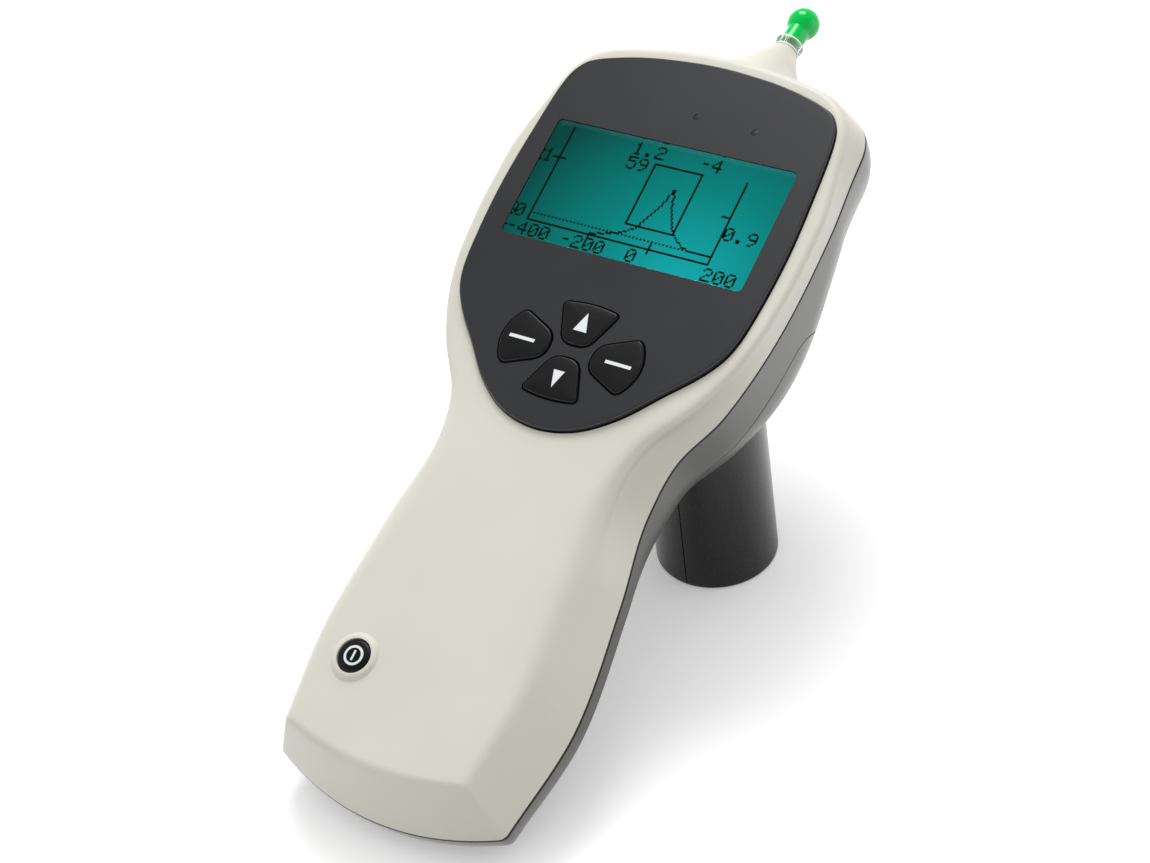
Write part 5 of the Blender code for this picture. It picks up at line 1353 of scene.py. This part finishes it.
def soft_silicone():
    """Soft medical silicone, dyed green: light goes a little way in, so thin rims glow."""
    look, tree, shader, place = new_look("dyed_green_silicone")
    clouds = add_node(tree, "ShaderNodeTexNoise", {"Vector": place, "Scale": 1 / CLOUD_SIZE, "Detail": 2.0})
    dyes = add_node(tree, "ShaderNodeValToRGB", {"Fac": clouds.outputs["Fac"]})
    dyes.color_ramp.elements[0].color = linear("#00C252")
    dyes.color_ramp.elements[1].color = linear("#02CE5C")
    sheen = add_node(tree, "ShaderNodeMapRange", {
        "Value": clouds.outputs["Fac"], "To Min": TIP_SHEEN[0], "To Max": TIP_SHEEN[1]})
    tree.links.new(dyes.outputs["Color"], shader.inputs["Base Color"])
    tree.links.new(sheen.outputs["Result"], shader.inputs["Roughness"])
    shader.inputs["IOR"].default_value = TIP_IOR
    shader.inputs["Specular IOR Level"].default_value = 0.5
    shader.inputs["Subsurface Weight"].default_value = 0.4
    shader.inputs["Subsurface Radius"].default_value = GLOW_SPREAD
    shader.inputs["Subsurface Scale"].default_value = GLOW_DEPTH
    return look


stem_low = ring_low + RING_WALL + GAP
waist = TIP_BULB_CENTRE - math.sqrt(TIP_BULB_RADIUS ** 2 - TIP_STEM_RADIUS ** 2)
top_angle = math.asin(TIP_MOUTH / TIP_BULB_RADIUS)
low_angle = math.acos((waist - TIP_BULB_CENTRE) / TIP_BULB_RADIUS)
tip_profile = [(TIP_BORE, TIP_BULB_CENTRE + TIP_BULB_RADIUS * math.cos(top_angle) - TIP_SINK)]
for i in range(TIP_ROWS + 1):
    angle = top_angle + (low_angle - top_angle) * i / TIP_ROWS
    tip_profile.append(
        (TIP_BULB_RADIUS * math.sin(angle), TIP_BULB_CENTRE + TIP_BULB_RADIUS * math.cos(angle)))
tip_profile += [
    (TIP_STEM_RADIUS, stem_low), (bore, stem_low), (bore, PROBE_TUBE_END + GAP),
    (TIP_BORE, PROBE_TUBE_END + GAP)]
ear_tip = solid(turned(tip_profile, loop=True), NOSE, "green_ear_tip")
dress(ear_tip, soft_silicone(), "tip", "ear_tip", slot="green_silicone", sharp=TIP_SHARP_EDGE)

# Studio
# A matt white paper floor keeps the shadow and is clear from below, under a white surround. Mirrors
# see that white too, but for a spot of the floor beside the pod and a dark sky overhead. One soft
# lamp stands high behind on the left, and a weak one low on the right.
FLOOR_HALF = 3.0
DARK_SPOT = (0.05, -0.03, 0.0)
DARK_SPOT_INNER = 0.03
DARK_SPOT_OUTER = 0.09
CAMERA_LIFT = 0.26
BRIGHT_SIDE = (-0.7, 0.3, 0.65)
SOFT_SKY = (0.36, 1.03)
MIRRORED_SKY = (1.0, 0.04)
MIRRORED_SKY_HEIGHTS = (0.1, 0.75)
WHITE = (1.0, 1.0, 1.0, 1.0)


def seen_by(tree):
    """Whether the camera sees a surface, and whether a mirror or clear plastic shows it."""
    seen = add_node(tree, "ShaderNodeLightPath").outputs
    shown = add_node(tree, "ShaderNodeMath", {
        0: seen["Is Glossy Ray"], 1: seen["Is Transmission Ray"]}, operation="MAXIMUM")
    return seen["Is Camera Ray"], shown.outputs[0]


bm = bmesh.new()
bmesh.ops.create_grid(bm, x_segments=8, y_segments=8, size=FLOOR_HALF)
floor = solid(bm, Matrix.Identity(4), "studio_floor")
paper, tree, shader, place = new_look("matt_white_paper")
shader.inputs["Roughness"].default_value = 0.9
shader.inputs["Specular IOR Level"].default_value = 0.2
by_camera, in_mirrors = seen_by(tree)
paper_tone = add_node(tree, "ShaderNodeMix", {
    "Factor": by_camera, "A": linear("#C0C0C0"), "B": linear("#F4F4F4")}, data_type="RGBA")
away = add_node(tree, "ShaderNodeVectorMath", {0: place, 1: DARK_SPOT}, operation="DISTANCE")
open_floor = add_node(tree, "ShaderNodeMapRange", {
    "Value": away.outputs["Value"], "From Min": DARK_SPOT_INNER, "From Max": DARK_SPOT_OUTER, "To Max": 1.0})
mirrored = add_node(tree, "ShaderNodeMath", {0: in_mirrors, 1: open_floor.outputs[0]}, operation="MULTIPLY")
lifted = add_node(tree, "ShaderNodeMath", {0: by_camera, 1: CAMERA_LIFT}, operation="MULTIPLY")
lift = add_node(tree, "ShaderNodeMath", {0: lifted.outputs[0], 1: mirrored.outputs[0]}, operation="MAXIMUM")
tree.links.new(paper_tone.outputs["Result"], shader.inputs["Base Color"])
shader.inputs["Emission Color"].default_value = WHITE
tree.links.new(lift.outputs[0], shader.inputs["Emission Strength"])
below = add_node(tree, "ShaderNodeNewGeometry").outputs["Backfacing"]
clear = add_node(tree, "ShaderNodeBsdfTransparent")
sheet = add_node(tree, "ShaderNodeMixShader", {0: below, 1: shader.outputs[0], 2: clear.outputs[0]})
tree.links.new(sheet.outputs[0], tree.nodes["Material Output"].inputs["Surface"])
floor.data.materials.append(paper)

world = bpy.data.worlds.new("studio_surround")
bpy.context.scene.world = world
world.use_nodes = True
tree = world.node_tree
tree.nodes.clear()
by_camera, in_mirrors = seen_by(tree)
facing = add_node(tree, "ShaderNodeTexCoord").outputs["Generated"]
height = add_node(tree, "ShaderNodeSeparateXYZ", {"Vector": facing}).outputs["Z"]
across = add_node(tree, "ShaderNodeVectorMath", {
    0: facing, 1: Vector(BRIGHT_SIDE).normalized()}, operation="DOT_PRODUCT")
soft_sky = add_node(tree, "ShaderNodeMapRange", {
    "Value": across.outputs["Value"], "From Min": -1.0, "From Max": 1.0, "To Min": SOFT_SKY[0],
    "To Max": SOFT_SKY[1]})
mirrored_sky = add_node(tree, "ShaderNodeMapRange", {
    "Value": height, "From Min": MIRRORED_SKY_HEIGHTS[0], "From Max": MIRRORED_SKY_HEIGHTS[1],
    "To Min": MIRRORED_SKY[0], "To Max": MIRRORED_SKY[1]})
soft, sky, backdrop = [
    add_node(tree, "ShaderNodeBackground", {"Color": WHITE, "Strength": strength}).outputs[0]
    for strength in (soft_sky.outputs["Result"], mirrored_sky.outputs["Result"], 1.0)]
lit = add_node(tree, "ShaderNodeMixShader", {0: in_mirrors, 1: soft, 2: sky})
both = add_node(tree, "ShaderNodeMixShader", {0: by_camera, 1: lit.outputs[0], 2: backdrop})
add_node(tree, "ShaderNodeOutputWorld", {"Surface": both.outputs[0]})


LAMP_AIM = Vector((0.0, 0.0, 0.05))


def add_lamp(name, place, size, power):
    """Square soft lamp that points at the instrument."""
    data = bpy.data.lights.new(name, "AREA")
    data.shape = "SQUARE"
    data.size = size
    data.energy = power
    lamp = bpy.data.objects.new(name, data)
    bpy.context.scene.collection.objects.link(lamp)
    lamp.location = place
    lamp.rotation_euler = (LAMP_AIM - Vector(place)).to_track_quat("-Z", "Y").to_euler()


KEY_LAMP_PLACE = (-0.35, 0.63, 1.2)
KEY_LAMP_SIZE = 0.6
KEY_LAMP_POWER = 9.5
SIDE_LAMP_PLACE = (0.95, 0.4, 0.25)
SIDE_LAMP_SIZE = 0.8
SIDE_LAMP_POWER = 1.2
add_lamp("key_lamp", KEY_LAMP_PLACE, KEY_LAMP_SIZE, KEY_LAMP_POWER)
add_lamp("side_lamp", SIDE_LAMP_PLACE, SIDE_LAMP_SIZE, SIDE_LAMP_POWER)

# Camera
# It stands to the right of the tail and looks down at the face, rolled a little, with the place
# and the lens that were fitted to the photograph.
CAMERA_AZIMUTH = math.radians(37.31)
CAMERA_ELEVATION = math.radians(38.45)
CAMERA_ROLL = math.radians(-8.51)
CAMERA_DISTANCE = 0.56
CAMERA_AIM = Vector((-0.0116, 0.00034, 0.03203))
CAMERA_LENS = 75.13
CAMERA_SENSOR = 36.0
CAMERA_CLIP = (0.01, 20.0)
camera_data = bpy.data.cameras.new("camera")
camera_data.lens = CAMERA_LENS
camera_data.sensor_width = CAMERA_SENSOR
camera_data.clip_start, camera_data.clip_end = CAMERA_CLIP
camera = bpy.data.objects.new("camera", camera_data)
bpy.context.scene.collection.objects.link(camera)
flat = math.cos(CAMERA_ELEVATION)
back = Vector((math.sin(CAMERA_AZIMUTH) * flat, -math.cos(CAMERA_AZIMUTH) * flat, math.sin(CAMERA_ELEVATION)))
level = (-back).to_track_quat("-Z", "Y").to_matrix().to_4x4()
stand = Matrix.Translation(CAMERA_AIM + back * CAMERA_DISTANCE)
camera.matrix_world = stand @ level @ Matrix.Rotation(CAMERA_ROLL, 4, "Z")
bpy.context.scene.camera = camera
bpy.context.scene.view_settings.view_transform = "Standard"
